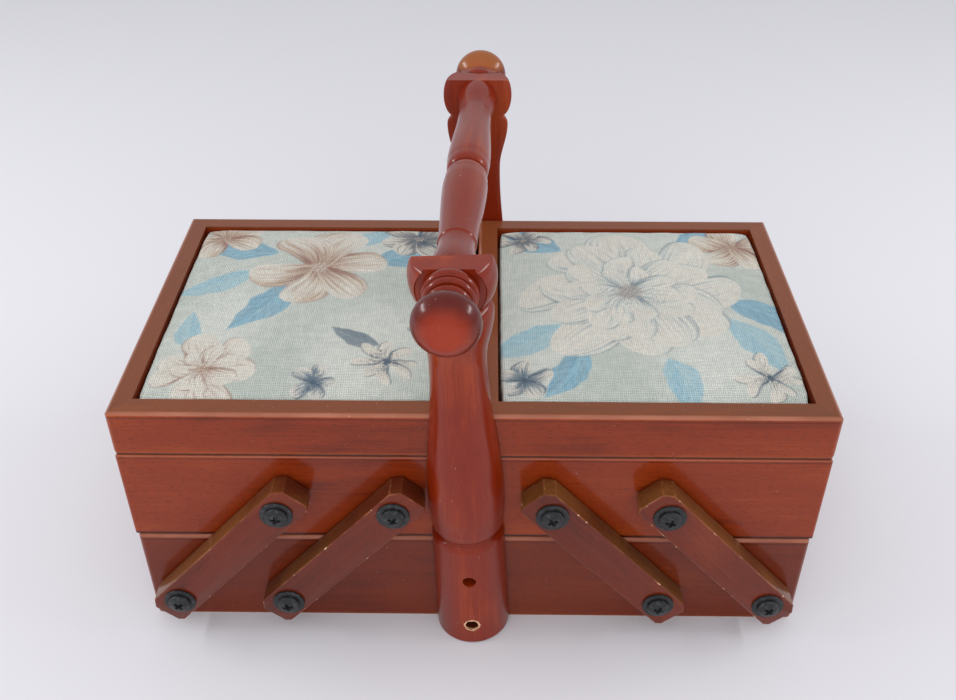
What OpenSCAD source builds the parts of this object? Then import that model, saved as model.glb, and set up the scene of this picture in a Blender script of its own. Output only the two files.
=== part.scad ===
// Wooden sewing carrier: a base, two trays that swing out on cantilever arms, a padded lid on each
// tray and a turned carrying handle. Millimetres, +Z up, origin under the middle of the base.

/* [Carcass] */
// Width over the two closed trays
box_w = 300; // [280:1:340]
// Depth of the trays and lids, front to back
box_d = 160; // [140:1:190]
// Height of the base
base_h = 52; // [48:1:66]
// Height of a tray
tray_h = 47; // [44:1:60]
// Height of a lid's frame
lid_h = 22; // [20:1:28]
// Thickness of the boards
wall_t = 9; // [8:0.5:11]
// Thickness of the plywood bottoms and lid boards
ply_t = 3; // [2.5:0.5:4]
// How far the plywood reaches into the boards round it
ply_bite = 4; // [3:0.5:5]
// Gap between the two trays, and between the two lids
split_gap = 1.6; // [1:0.2:3]
// How much shorter the base is than the trays at each end
base_inset = 1.2; // [0:0.2:3]
// How far the trays stand back from the posts
post_gap = 0.8; // [0.4:0.1:1.5]
// Radius of the rounded edges of the base and lids
edge_r = 2.4; // [1.5:0.1:3]
// Radius of the rounded top edges of the trays
tray_edge_r = 1.6; // [1:0.1:2.4]

/* [Lids] */
// Width of a lid frame's rails
rail_w = 9.5; // [8.5:0.5:12]
// Height of a lid board's underside above the seam
lid_board_up = 7; // [5:0.5:9]
// Gap between a pad and the rails round it
pad_gap = 0.6; // [0.4:0.1:1.2]
// How far a pad's edge lies below the top of the rails
pad_sink = 4; // [3:0.5:6]
// Height that a pad's rolled edge gains near the rails
pad_roll = 3; // [2:0.5:5]
// Height that a pad gains from its edge to its middle
pad_crown = 3.4; // [2:0.2:5]
// How far a pad's corners are drawn in
pad_corner = 1.2; // [0.5:0.1:2]

/* [Lid hinges] */
// Length of a hinge
hinge_len = 22; // [18:1:30]
// Distance of each hinge from the middle of the tray's end
hinge_y = 46; // [36:1:54]
// Thickness of a hinge leaf
leaf_t = 0.8; // [0.6:0.1:1]
// Reach of a leaf from the pin towards the inside
leaf_reach = 6; // [5.5:0.1:6.4]
// Outer radius of the knuckles
knuckle_r = 1.6; // [1.4:0.1:1.8]
// Radius of the hinge pin
hinge_pin_r = 0.7; // [0.5:0.1:0.8]
// Opening at which the bevels of lid and tray meet, in degrees
lid_stop = 105; // [95:1:115]

/* [Arms] */
// Width of an arm
arm_w = 17.5; // [16:0.5:20]
// Thickness of an arm
arm_t = 10; // [8:0.5:12]
// Reach of an arm past its screw
arm_tip = 12; // [11:0.5:13]
// Length of an arm's clipped outer corners, along the arm
clip_l = 4; // [3:0.5:5]
// Width of an arm's clipped outer corners, across the arm
clip_w = 3.2; // [2:0.2:4]
// Size of the small clip on an arm's inner corners
nick = 2; // [1:0.2:3]
// Distance of the outer lower screws from the base's ends
pivot_edge = 16.8; // [15:0.2:20]
// Height of the lower screws
pivot_low_z = 21.5; // [19:0.5:24]
// Height of the upper screws above the trays' underside
pivot_up = 24.5; // [20:0.5:27]
// Sideways reach of an arm from its lower to its upper screw
arm_reach = 49.5; // [44:0.5:54]
// Clearance between the front post and the arm beside it
arm_post_gap = 0.5; // [0.4:0.1:1.5]

/* [Screws] */
// Radius of the arm screws' shank
screw_r = 2.4; // [2:0.1:2.8]
// Depth of the arm screws in the boards
screw_bite = 7; // [5:0.5:7.5]
// Radius of the arm screws' head
head_r = 4.9; // [4:0.1:5.4]
// Height of the arm screws' domed head
head_t = 3; // [2.4:0.1:3.6]
// Radius of the washers
washer_r = 7; // [6.2:0.1:7.6]
// Thickness of the washers under the heads
washer_t = 1.2; // [0.8:0.1:1.6]
// Thickness of the spacer washers between the base and the arms
spacer_t = 1; // [0.6:0.1:1.6]
// Radius of the post screws' shank
post_screw_r = 2; // [1.6:0.1:2.4]
// Radius of the post screws' countersunk head
post_head_r = 2.9; // [2.6:0.1:3.4]
// Heights of the two screws in each post
post_screw_low = 11.5; // [9:0.5:16]
post_screw_high = 40; // [30:0.5:42]
// Depth of the counterbores over the post screws
post_counterbore = 7; // [5:0.5:9]

/* [Handle] */
// Height of the handle bar's axis in the upright post
bar_z = 187.5; // [180:0.5:220]
// Lean of the front post to the left, in degrees
post_lean = 2.2; // [0:0.1:3]
// Radius of the posts' foot
foot_r = 16.6; // [15:0.2:17]
// Radius of the posts' belly above the groove
belly_r = 16.5; // [15:0.1:17]
// Radius of the groove between foot and belly
groove_r = 13.6; // [12:0.1:14.4]
// Radius of the posts' waist
waist_r = 11.4; // [10:0.1:12]
// Radius of the flare under the head
flare_r = 15; // [14:0.1:16]
// Radius of the notch under the head
notch_r = 11.8; // [11:0.1:12.5]
// Radius of the head's bead
bead_r = 16.6; // [15.8:0.1:17.2]
// Height of the head's flat top above the bar's axis
head_top = 9.3; // [8:0.1:10.5]
// Thickness of the head behind the knob
seat_t = 9.6; // [8:0.2:11]
// Radius of the recess that the knob sits in
seat_r = 13.2; // [12:0.1:14]
// Radius of the bar's largest swell
bar_r = 9.4; // [8.4:0.1:10]
// Radius of the bar's necks
bar_neck_r = 7.2; // [6.4:0.1:8]
// Radius of the groove at the bar's middle
bar_groove_r = 7.4; // [6.6:0.1:8]
// Radius of the bar's tenons
tenon_r = 4.5; // [3.5:0.1:5.5]
// Depth of the tenons in the knobs
tenon_bite = 10; // [7:0.5:12]
// Radius of the knobs' ball
knob_r = 12.6; // [11.5:0.1:13.2]
// Half length of the knobs' ball
knob_half = 9.2; // [8:0.1:10.5]
// Distance from a knob's seat to the middle of its ball
knob_out = 20.4; // [19:0.2:23]

/* [Hidden] */
$fn = 64;

over = 1;          // how far a cut runs past the face that it leaves
bore_play = 0.08;  // radial play of an arm or hinge knuckle on its pin
snug = 0.02;       // radial clearance of a screw or tenon in its hole
arm_play = 0.15;   // side play of an arm between its washers

// Levels and outlines
seam_z = base_h + tray_h;
lid_top = seam_z + lid_h;
base_w = box_w - 2 * base_inset;
base_d = box_d + 2 * post_gap;
half_w = (box_w - split_gap) / 2;
half_x = (box_w + split_gap) / 4;
lid_board_z = seam_z + lid_board_up;
pad_z = lid_board_z + ply_t;
pad_w = half_w - 2 * rail_w - 2 * pad_gap;
pad_d = box_d - 2 * rail_w - 2 * pad_gap;

// Arms: angle at rest, and where their screws sit
pivot_high_z = base_h + pivot_up;
arm_rise = pivot_high_z - pivot_low_z;
arm_len = norm([arm_reach, arm_rise]);
arm_angle = atan2(arm_rise, arm_reach);
arm_end_x = max(
    arm_tip * cos(arm_angle) + (arm_w / 2 - nick) * sin(arm_angle),
    (arm_tip - nick) * cos(arm_angle) + arm_w / 2 * sin(arm_angle)
);
arm_end_z = pivot_high_z + arm_tip * sin(arm_angle) - (arm_w / 2 - nick) * cos(arm_angle);
outer_low_x = base_w / 2 - pivot_edge;
post_edge_x = max(belly_r, foot_r) + arm_end_z * sin(post_lean);
inner_high_x = post_edge_x + arm_post_gap + arm_end_x;
low_xs = [inner_high_x + arm_reach, outer_low_x];
high_xs = [for (x = low_xs) x - arm_reach];
arm_inner_y = base_d / 2 + spacer_t + arm_play;
arm_outer_y = arm_inner_y + arm_t;
washer_y = arm_outer_y + arm_play;
head_y = washer_y + washer_t;

// The dome of an arm screw's head, which leaves a rim a third of the head high
dome_h = head_t * 2 / 3;
dome_r = (head_r * head_r + dome_h * dome_h) / (2 * dome_h);
dome_a = asin(head_r / dome_r);

// Lid hinges: the pin lies in the seam, inside bevels that meet at lid_stop
pin_in = knuckle_r;
pin_x = box_w / 2 - pin_in;
bevel_h = pin_in * tan(lid_stop / 2);
knuckle_len = hinge_len / 3;
knuckle_play = 0.2;
leaf_screw_x = pin_x - leaf_reach * 0.66;
leaf_screw_ys = [-hinge_len / 3, hinge_len / 3];
leaf_screw_r = 0.8;
leaf_head_r = 1.5;
leaf_screw_len = 7;

// Handle: the front post stands on the corner of its leaning foot
post_lift = foot_r * sin(post_lean);
post_y = base_d / 2;
front_eye = [-bar_z * sin(post_lean), -post_y, bar_z * cos(post_lean) + post_lift];
back_eye = [0, post_y, bar_z];
eye_middle = (front_eye + back_eye) / 2;
eye_run = back_eye - front_eye;
bar_half = norm(eye_run) / 2;
bar_yaw = atan2(eye_run[1], eye_run[0]);
bar_tilt = acos(eye_run[2] / norm(eye_run));
seat_from_middle = bar_half + seat_t;
groove_z = base_h + 8.5;

// A rectangle about the origin with round corners of radius r
module round_rect(w, d, r) {
    square([w - 2 * r, d], center = true);
    square([w, d - 2 * r], center = true);
    for (x = [-1, 1], y = [-1, 1]) translate([x * (w / 2 - r), y * (d / 2 - r)]) circle(r);
}

// A block's cross-section, w wide and h high, with its two top corners rounded
module top_round_section(w, h, r) {
    translate([-w / 2, 0]) square([w, h - r]);
    translate([-w / 2 + r, 0]) square([w - 2 * r, h]);
    for (x = [-1, 1]) translate([x * (w / 2 - r), h - r]) circle(r);
}

// A block standing on z = 0 whose upright edges and top edges are rounded
module round_block(w, d, h, r) {
    intersection() {
        linear_extrude(h) round_rect(w, d, r);
        rotate([90, 0, 90]) translate([0, 0, -w / 2]) linear_extrude(w) top_round_section(d, h, r);
        rotate([90, 0, 0]) translate([0, 0, -d / 2]) linear_extrude(d) top_round_section(w, h, r);
    }
}

// The space of one board of a four-sided box: the front and back boards run over the side boards
module board_space(w, d, h, which) {
    long = [w + 2 * over, wall_t + over, h];
    short = [wall_t + over, d - 2 * wall_t, h];
    if (which == "front") translate([-w / 2 - over, -d / 2 - over, 0]) cube(long);
    if (which == "back") translate([-w / 2 - over, d / 2 - wall_t, 0]) cube(long);
    if (which == "left") translate([-w / 2 - over, -d / 2 + wall_t, 0]) cube(short);
    if (which == "right") translate([w / 2 - wall_t, -d / 2 + wall_t, 0]) cube(short);
}

// The plywood panel of a w by d box, let into the boards' lower edge
module ply_bottom(w, d) {
    inside = [w - 2 * wall_t + 2 * ply_bite, d - 2 * wall_t + 2 * ply_bite, ply_t];
    translate([0, 0, ply_t / 2]) cube(inside, center = true);
}

// Something repeated at the four screws of one side (-1 left, 1 right), at the stated screw places
module at_pivots(side, xs, z) {
    for (x = xs, y = [-1, 1]) translate([side * x, 0, z]) rotate([0, 0, y > 0 ? 180 : 0]) children();
}

// A cylinder from y = -from to y = -to on the front face's side
module rod_y(from, to, r) {
    translate([0, -from, 0]) rotate([90, 0, 0]) cylinder(h = to - from, r = r);
}

// An arm screw driven into a board whose face lies at y = -face, with a cross recess in its dome
module pivot_screw(face) {
    outline = concat(
        [[0, face - screw_bite], [screw_r, face - screw_bite], [screw_r, head_y], [head_r, head_y]],
        [for (i = [0:8]) let (a = dome_a * (1 - i / 8))
            [dome_r * sin(a), head_y + head_t - dome_r * (1 - cos(a))]]
    );
    difference() {
        rotate([90, 0, 0]) rotate_extrude() polygon(outline);
        for (a = [45, 135]) translate([0, -head_y - head_t, 0]) rotate([0, a, 0])
            cube([head_r, head_t, head_t / 4], center = true);
    }
}

// A washer between y = -from and y = -to
module washer(from, to) {
    difference() {
        rod_y(from, to, washer_r);
        rod_y(from - over, to + over, screw_r + bore_play);
    }
}

// The washers of one screw: a spacer behind the arm and a washer under the head
module washer_pair(face) {
    washer(face, arm_inner_y - arm_play);
    washer(washer_y, head_y);
}

// The pilot holes of the arm screws in a board whose face lies at y = -face
module pilot_holes(xs, z, face) {
    for (side = [-1, 1]) at_pivots(side, xs, z) rod_y(face - screw_bite - snug, face + over, screw_r + snug);
}

// One arm at rest on the front left, from its lower screw to its upper screw
module arm(side, x, y) {
    tip = arm_len + arm_tip;
    outline = [
        [-arm_tip, -arm_w / 2 + nick], [-arm_tip + nick, -arm_w / 2],
        [tip - nick, -arm_w / 2], [tip, -arm_w / 2 + nick],
        [tip, arm_w / 2 - clip_w], [tip - clip_l, arm_w / 2],
        [-arm_tip + clip_l, arm_w / 2], [-arm_tip, arm_w / 2 - clip_w]
    ];
    mirror([side > 0 ? 1 : 0, 0, 0]) mirror([0, y > 0 ? 1 : 0, 0])
        translate([-x, -arm_inner_y, pivot_low_z]) rotate([0, -arm_angle, 0]) color("sienna") difference() {
            rotate([90, 0, 0]) linear_extrude(arm_t) polygon(outline);
            for (along = [0, arm_len]) translate([along, 0, 0])
                rod_y(-over, arm_t + over, screw_r + bore_play);
        }
}

// One board of the base
module base_wall(which) {
    color("firebrick") difference() {
        intersection() {
            round_block(base_w, base_d, base_h, edge_r);
            board_space(base_w, base_d, base_h, which);
        }
        ply_bottom(base_w, base_d);
        if (which == "front" || which == "back") {
            pilot_holes(low_xs, pivot_low_z, base_d / 2);
            post_screw_holes();
        }
    }
}

module base_bottom() {
    color("tan") ply_bottom(base_w, base_d);
}

module base_pivot_screws() {
    color("dimgray") for (side = [-1, 1]) at_pivots(side, low_xs, pivot_low_z) pivot_screw(base_d / 2);
}

module base_pivot_washers() {
    color("dimgray") for (side = [-1, 1]) at_pivots(side, low_xs, pivot_low_z) washer_pair(base_d / 2);
}

// A tray's block in its place, with the bevel that its lid turns on
module tray_block(side) {
    difference() {
        translate([side * half_x, 0, base_h]) round_block(half_w, box_d, tray_h, tray_edge_r);
        hinge_bevel(side, -1);
    }
}

// The wedge cut off a tray (up = -1) or a lid (up = 1) along its outer edge at the seam
module hinge_bevel(side, up) {
    translate([0, box_d / 2 + over, 0]) rotate([90, 0, 0]) linear_extrude(box_d + 2 * over) polygon([
        [side * pin_x, seam_z],
        [side * (pin_x + pin_in * 2), seam_z],
        [side * (pin_x + pin_in * 2), seam_z + up * bevel_h * 2]
    ]);
}

// One board of a tray; its outer board takes the hinges
module tray_wall(side, which) {
    place = which == "outer" ? (side < 0 ? "left" : "right")
        : which == "inner" ? (side < 0 ? "right" : "left") : which;
    color("firebrick") difference() {
        intersection() {
            tray_block(side);
            translate([side * half_x, 0, base_h]) board_space(half_w, box_d, tray_h, place);
        }
        translate([side * half_x, 0, base_h]) ply_bottom(half_w, box_d);
        if (which == "front" || which == "back") pilot_holes(high_xs, pivot_high_z, box_d / 2);
        if (which == "outer") hinge_cuts(side, -1);
    }
}

module tray_bottom(side) {
    color("tan") translate([side * half_x, 0, base_h]) ply_bottom(half_w, box_d);
}

module tray_pivot_screws(side) {
    color("dimgray") at_pivots(side, high_xs, pivot_high_z) pivot_screw(box_d / 2);
}

module tray_pivot_washers(side) {
    color("dimgray") at_pivots(side, high_xs, pivot_high_z) washer_pair(box_d / 2);
}

// A hinge part, drawn for the right side with its pin along Y, at both hinges of one side
module at_hinges(side) {
    mirror([side < 0 ? 1 : 0, 0, 0]) for (y = [-hinge_y, hinge_y]) translate([pin_x, y, seam_z]) children();
}

// The room for knuckles, leaf and screws in a tray's board (up = -1) or a lid's rail (up = 1)
module hinge_cuts(side, up) {
    at_hinges(side) {
        translate([0, hinge_len / 2 + snug, 0]) rotate([90, 0, 0])
            cylinder(h = hinge_len + 2 * snug, r = knuckle_r + knuckle_play);
        translate([-leaf_reach - snug, -hinge_len / 2 - snug, up > 0 ? 0 : -leaf_t])
            cube([leaf_reach + snug, hinge_len + 2 * snug, leaf_t]);
        for (y = leaf_screw_ys) translate([leaf_screw_x - pin_x, y, 0]) mirror([0, 0, up > 0 ? 1 : 0])
            translate([0, 0, -leaf_screw_len - snug])
                cylinder(h = leaf_screw_len + 2 * snug, r = leaf_screw_r + snug);
    }
}

// A hinge leaf: the tray's (up = -1) keeps the two end knuckles, the lid's (up = 1) the middle one
module hinge_leaf(up) {
    half = hinge_len / 2;
    middle = (knuckle_len - knuckle_play) / 2;
    middle_gap = (knuckle_len + knuckle_play) / 2;
    gaps = up > 0 ? [[-half - over, -middle], [middle, half + over]] : [[-middle_gap, middle_gap]];
    difference() {
        union() {
            translate([0, half, 0]) rotate([90, 0, 0]) cylinder(h = hinge_len, r = knuckle_r);
            translate([-leaf_reach, -half, up > 0 ? 0 : -leaf_t]) cube([leaf_reach, hinge_len, leaf_t]);
        }
        for (g = gaps) translate([-knuckle_r - knuckle_play, g[0], -knuckle_r - over])
            cube([2 * knuckle_r + knuckle_play + over, g[1] - g[0], 2 * (knuckle_r + over)]);
        translate([0, hinge_len, 0]) rotate([90, 0, 0])
            cylinder(h = 2 * hinge_len, r = hinge_pin_r + (up > 0 ? bore_play : snug));
        for (y = leaf_screw_ys) translate([leaf_screw_x - pin_x, y, 0]) mirror([0, 0, up > 0 ? 1 : 0])
            leaf_screw_shape(snug, over);
    }
}

// A countersunk leaf screw that points down from the leaf's face, grown by a clearance and run on
// past the face
module leaf_screw_shape(grow, past) {
    slope = (leaf_head_r - leaf_screw_r) / leaf_t;
    translate([0, 0, -leaf_screw_len]) cylinder(h = leaf_screw_len, r = leaf_screw_r + grow);
    translate([0, 0, -leaf_t]) cylinder(
        h = leaf_t + past, r1 = leaf_screw_r + grow, r2 = leaf_head_r + grow + slope * past
    );
}

module leaf_screws(side, up) {
    color("goldenrod") at_hinges(side) for (y = leaf_screw_ys)
        translate([leaf_screw_x - pin_x, y, 0]) mirror([0, 0, up > 0 ? 1 : 0]) leaf_screw_shape(0, 0);
}

module tray_hinge_leaves(side) {
    color("goldenrod") at_hinges(side) hinge_leaf(-1);
}

module lid_hinge_leaves(side) {
    color("goldenrod") at_hinges(side) hinge_leaf(1);
}

module hinge_pins(side) {
    color("goldenrod") at_hinges(side) translate([0, hinge_len / 2, 0]) rotate([90, 0, 0])
        cylinder(h = hinge_len, r = hinge_pin_r);
}

// One mitred rail of a lid's frame, grooved for the lid board
module lid_rail(side, which) {
    w = half_w / 2;
    d = box_d / 2;
    turn = which == "front" ? 0 : which == "back" ? 180 : (which == "outer") == (side > 0) ? 90 : -90;
    long = which == "front" || which == "back" ? w : d;
    deep = which == "front" || which == "back" ? d : w;
    color("firebrick") difference() {
        intersection() {
            translate([side * half_x, 0, seam_z]) round_block(half_w, box_d, lid_h, edge_r);
            translate([side * half_x, 0, seam_z - over]) rotate([0, 0, turn])
                linear_extrude(lid_h + 2 * over) polygon([
                    [-long, -deep], [long, -deep],
                    [long - rail_w, rail_w - deep], [rail_w - long, rail_w - deep]
                ]);
        }
        lid_board(side);
        hinge_bevel(side, 1);
        if (which == "outer") hinge_cuts(side, 1);
    }
}

module lid_board(side) {
    size = [half_w - 2 * rail_w + 2 * ply_bite, box_d - 2 * rail_w + 2 * ply_bite, ply_t];
    color("tan") translate([side * half_x, 0, lid_board_z + ply_t / 2]) cube(size, center = true);
}

// A pad's height over its board at u, v from -1 to 1: a rolled edge and a low crown
function pad_height(u, v) =
    lid_top - pad_sink - pad_z
    + pad_roll * sqrt((1 - pow(abs(u), 22)) * (1 - pow(abs(v), 22)))
    + pad_crown * (1 - u * u) * (1 - v * v);

// A pad's point at u, v and height z, with the corners drawn in
function pad_point(u, v, z) =
    let (pull = pad_corner * pow(abs(u * v), 9))
    [u * (pad_w / 2 - pull), v * (pad_d / 2 - pull), z];

// A stuffed pad: a crowned top on a grid that is finer near the edges, straight sides, a flat back
module lid_pad(side) {
    n = 26;
    s = [for (i = [0:n]) sin(-90 + 180 * i / n)];
    rim = concat(
        [for (i = [0:n - 1]) [i, 0]], [for (i = [0:n - 1]) [n, i]],
        [for (i = [n:-1:1]) [i, n]], [for (i = [n:-1:1]) [0, i]]
    );
    top = [for (j = [0:n], i = [0:n]) pad_point(s[i], s[j], pad_height(s[i], s[j]))];
    foot = [for (r = rim) pad_point(s[r[0]], s[r[1]], 0)];
    first = len(top);
    last = first + len(rim);
    row = n + 1;
    faces = concat(
        [for (j = [0:n - 1], i = [0:n - 1], t = [0, 1])
            let (a = j * row + i) t == 0 ? [a, a + row, a + row + 1] : [a, a + row + 1, a + 1]],
        [for (k = [0:len(rim) - 1], t = [0, 1])
            let (
                k2 = (k + 1) % len(rim),
                a = rim[k][1] * row + rim[k][0],
                b = rim[k2][1] * row + rim[k2][0]
            )
            t == 0 ? [a, b, first + k2] : [a, first + k2, first + k]],
        [for (k = [0:len(rim) - 1]) [first + k, first + (k + 1) % len(rim), last]]
    );
    color("powderblue") translate([side * half_x, 0, pad_z])
        polyhedron(points = concat(top, foot, [[0, 0, 0]]), faces = faces);
}

// A smooth run of points between turned stations [radius, height], eased at both ends
function eased(a, b, steps) = [for (i = [0:steps - 1])
    let (t = i / steps, e = (1 - cos(180 * t)) / 2) [a[0] + (b[0] - a[0]) * e, a[1] + (b[1] - a[1]) * t]];

// A quarter turn of points from angle a1 to a2 about a centre, with radii rx across and rz along
function arc(centre, rx, rz, a1, a2, steps) = [for (i = [0:steps])
    let (a = a1 + (a2 - a1) * i / steps) [centre[0] + rx * cos(a), centre[1] + rz * sin(a)]];

// The turned outline of a post, from its foot to its flat top, as [radius, height]
shoulder = 3;
foot_shoulder = 4.6;
shoulder_end = acos(min(0.9, (groove_r + 0.1 - (foot_r - 0.6 - foot_shoulder)) / foot_shoulder));
belly_z = groove_z + 15;
flare_z = bar_z - 13.5;
waist_z = (belly_z + flare_z) / 2 + 26;
notch_z = flare_z + 4.4;
bead_z = bar_z + 1.4;
head_z = bar_z + head_top;
bead_half = bead_z - notch_z;
bead_end = asin((head_z - bead_z) / bead_half);
post_outline = concat(
    [[0, 0], [foot_r, 0]],
    arc([foot_r - 0.6 - foot_shoulder, groove_z - 0.5 - foot_shoulder * sin(shoulder_end)],
        foot_shoulder, foot_shoulder, 0, shoulder_end, 6),
    [[groove_r, groove_z]],
    arc([belly_r - 1 - shoulder, groove_z + 1 + shoulder], shoulder, shoulder, -80, 0, 6),
    eased([belly_r - 0.6, groove_z + 6], [belly_r, belly_z], 4),
    eased([belly_r, belly_z], [waist_r, waist_z], 10),
    eased([waist_r, waist_z], [flare_r, flare_z], 8),
    arc([notch_r, flare_z], flare_r - notch_r, notch_z - flare_z, 0, 90, 6),
    arc([notch_r, bead_z], bead_r - notch_r, bead_half, -75, bead_end, 12),
    [[0, head_z]]
);

// The bar's own frame: its axis is +Z here, running from the front eye to the back eye
module on_bar() {
    translate(eye_middle) rotate([0, 0, bar_yaw]) rotate([0, bar_tilt, 0]) children();
}

// Holes that the post screws need, through the posts and into the base's boards
module post_screw_holes() {
    at_post_screws() rod_y(post_y - screw_bite - snug, post_y + foot_r, post_screw_r + snug);
}

// Something at the two screws of each post
module at_post_screws() {
    for (z = [post_screw_low, post_screw_high]) {
        translate([0, 0, post_lift]) rotate([0, -post_lean, 0]) translate([0, 0, z]) children();
        rotate([0, 0, 180]) translate([0, 0, z]) children();
    }
}

// A countersunk post screw, its head at the bottom of the counterbore
module post_screw() {
    head_out = post_y + foot_r - post_counterbore;
    head_depth = post_head_r - post_screw_r;
    difference() {
        union() {
            rod_y(post_y - screw_bite, head_out, post_screw_r);
            translate([0, -head_out, 0]) rotate([-90, 0, 0])
                cylinder(h = head_depth, r1 = post_head_r, r2 = post_screw_r);
        }
        for (a = [45, 135]) translate([0, -head_out, 0]) rotate([0, a, 0])
            cube([post_head_r * 1.2, head_depth, head_depth / 3], center = true);
    }
}

module post_screws() {
    color("goldenrod") at_post_screws() post_screw();
}

// A half-round post, drawn for the front: one half of a turning, flat towards the box
module half_turning() {
    translate([0, -post_y, 0]) intersection() {
        rotate_extrude() polygon(post_outline);
        translate([-2 * foot_r, -2 * foot_r, 0]) cube([4 * foot_r, 2 * foot_r, bar_z + foot_r]);
    }
}

// What is cut from both posts: the screws' holes, the knobs' recesses and the bar's tenon holes
module post_cuts() {
    post_screw_holes();
    at_post_screws() {
        head_out = post_y + foot_r - post_counterbore;
        rod_y(head_out, post_y + foot_r + over, post_head_r);
        translate([0, -head_out, 0]) rotate([-90, 0, 0])
            cylinder(h = post_head_r - post_screw_r, r1 = post_head_r, r2 = post_screw_r);
    }
    on_bar() for (end = [0, 1]) mirror([0, 0, end]) {
        cylinder(h = seat_from_middle + over, r = tenon_r + snug);
        translate([0, 0, seat_from_middle]) cylinder(h = bead_r, r = seat_r);
    }
}

module front_post() {
    color("brown") difference() {
        translate([0, 0, post_lift]) rotate([0, -post_lean, 0]) half_turning();
        post_cuts();
    }
}

module back_post() {
    color("brown") difference() {
        rotate([0, 0, 180]) half_turning();
        post_cuts();
    }
}

// The bar's outline from its middle to its end, as [radius, distance from the middle]
swell_z = 12;
step_z = bar_half * 0.72;
bar_side = concat(
    arc([bar_groove_r, 6], bar_r - bar_groove_r - 0.3, 5, -90, 0, 6),
    eased([bar_r - 0.3, 6], [bar_r, swell_z], 2),
    eased([bar_r, swell_z], [bar_neck_r + 0.5, step_z], 10),
    [[bar_neck_r + 0.5, step_z], [bar_neck_r, step_z + 0.6]],
    eased([bar_neck_r, step_z + 1.2], [bar_r, bar_half + over], 6),
    [[bar_r, bar_half + over]]
);
bar_outline = concat(
    [[0, -bar_half - over]],
    [for (i = [len(bar_side) - 1:-1:0]) [bar_side[i][0], -bar_side[i][1]]],
    [[bar_groove_r, 0]],
    bar_side,
    [[0, bar_half + over]]
);

// The turned bar, its shoulders cut to the posts' flat faces, with a tenon at each end
module handle_bar() {
    color("brown") union() {
        intersection() {
            on_bar() rotate_extrude() polygon(bar_outline);
            cube([box_w, 2 * post_y, 3 * bar_z], center = true);
        }
        on_bar() cylinder(h = 2 * (seat_from_middle + tenon_bite), r = tenon_r, center = true);
    }
}

// A knob's outline from its seat outwards: three rings, then the ball with a flattened end
ring_r = [knob_r - 2, knob_r - 2.8, knob_r - 4];
ring_ends = [0, 4.4, 7.8, knob_out - knob_half];
ball_flat = 6;
knob_outline = concat(
    [[0, 0]],
    [for (i = [0:2]) each arc(
        [ring_r[i] - 1.4, (ring_ends[i] + ring_ends[i + 1]) / 2],
        1.4, (ring_ends[i + 1] - ring_ends[i]) / 2, -85, 85, 6
    )],
    [[ring_r[2] - 1.4, knob_out - knob_half * cos(asin((ring_r[2] - 1.4) / knob_r))]],
    arc([0, knob_out], knob_r, knob_half, -asin(cos(asin((ring_r[2] - 1) / knob_r))), 62, 16),
    [[0, knob_out + knob_half * sin(62)]]
);

// A knob on one end of the bar (0 back, 1 front), with a blind hole for the tenon
module knob(end) {
    color("brown") on_bar() mirror([0, 0, end]) translate([0, 0, seat_from_middle]) difference() {
        rotate_extrude() polygon(knob_outline);
        translate([0, 0, -over]) cylinder(h = tenon_bite + snug + over, r = tenon_r + snug);
    }
}

base_wall("front");  // base_front_wall
base_wall("back");  // base_back_wall
base_wall("left");  // base_left_wall
base_wall("right");  // base_right_wall
base_bottom();
base_pivot_screws();
base_pivot_washers();
front_post();
back_post();
post_screws();
handle_bar();
knob(1);  // front_knob
knob(0);  // back_knob
tray_wall(-1, "front");  // left_tray_front_wall
tray_wall(-1, "back");  // left_tray_back_wall
tray_wall(-1, "outer");  // left_tray_outer_wall
tray_wall(-1, "inner");  // left_tray_inner_wall
tray_bottom(-1);  // left_tray_bottom
tray_pivot_screws(-1);  // left_tray_pivot_screws
tray_pivot_washers(-1);  // left_tray_pivot_washers
tray_hinge_leaves(-1);  // left_tray_hinge_leaves
hinge_pins(-1);  // left_hinge_pins
leaf_screws(-1, -1);  // left_tray_leaf_screws
tray_wall(1, "front");  // right_tray_front_wall
tray_wall(1, "back");  // right_tray_back_wall
tray_wall(1, "outer");  // right_tray_outer_wall
tray_wall(1, "inner");  // right_tray_inner_wall
tray_bottom(1);  // right_tray_bottom
tray_pivot_screws(1);  // right_tray_pivot_screws
tray_pivot_washers(1);  // right_tray_pivot_washers
tray_hinge_leaves(1);  // right_tray_hinge_leaves
hinge_pins(1);  // right_hinge_pins
leaf_screws(1, -1);  // right_tray_leaf_screws
lid_rail(-1, "front");  // left_lid_front_rail
lid_rail(-1, "back");  // left_lid_back_rail
lid_rail(-1, "outer");  // left_lid_outer_rail
lid_rail(-1, "inner");  // left_lid_inner_rail
lid_board(-1);  // left_lid_board
lid_pad(-1);  // left_lid_pad
lid_hinge_leaves(-1);  // left_lid_hinge_leaves
leaf_screws(-1, 1);  // left_lid_leaf_screws
lid_rail(1, "front");  // right_lid_front_rail
lid_rail(1, "back");  // right_lid_back_rail
lid_rail(1, "outer");  // right_lid_outer_rail
lid_rail(1, "inner");  // right_lid_inner_rail
lid_board(1);  // right_lid_board
lid_pad(1);  // right_lid_pad
lid_hinge_leaves(1);  // right_lid_hinge_leaves
leaf_screws(1, 1);  // right_lid_leaf_screws
arm(-1, low_xs[1], -1);  // left_front_outer_arm
arm(-1, low_xs[0], -1);  // left_front_inner_arm
arm(-1, low_xs[1], 1);  // left_back_outer_arm
arm(-1, low_xs[0], 1);  // left_back_inner_arm
arm(1, low_xs[1], -1);  // right_front_outer_arm
arm(1, low_xs[0], -1);  // right_front_inner_arm
arm(1, low_xs[1], 1);  // right_back_outer_arm
arm(1, low_xs[0], 1);  // right_back_inner_arm
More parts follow.
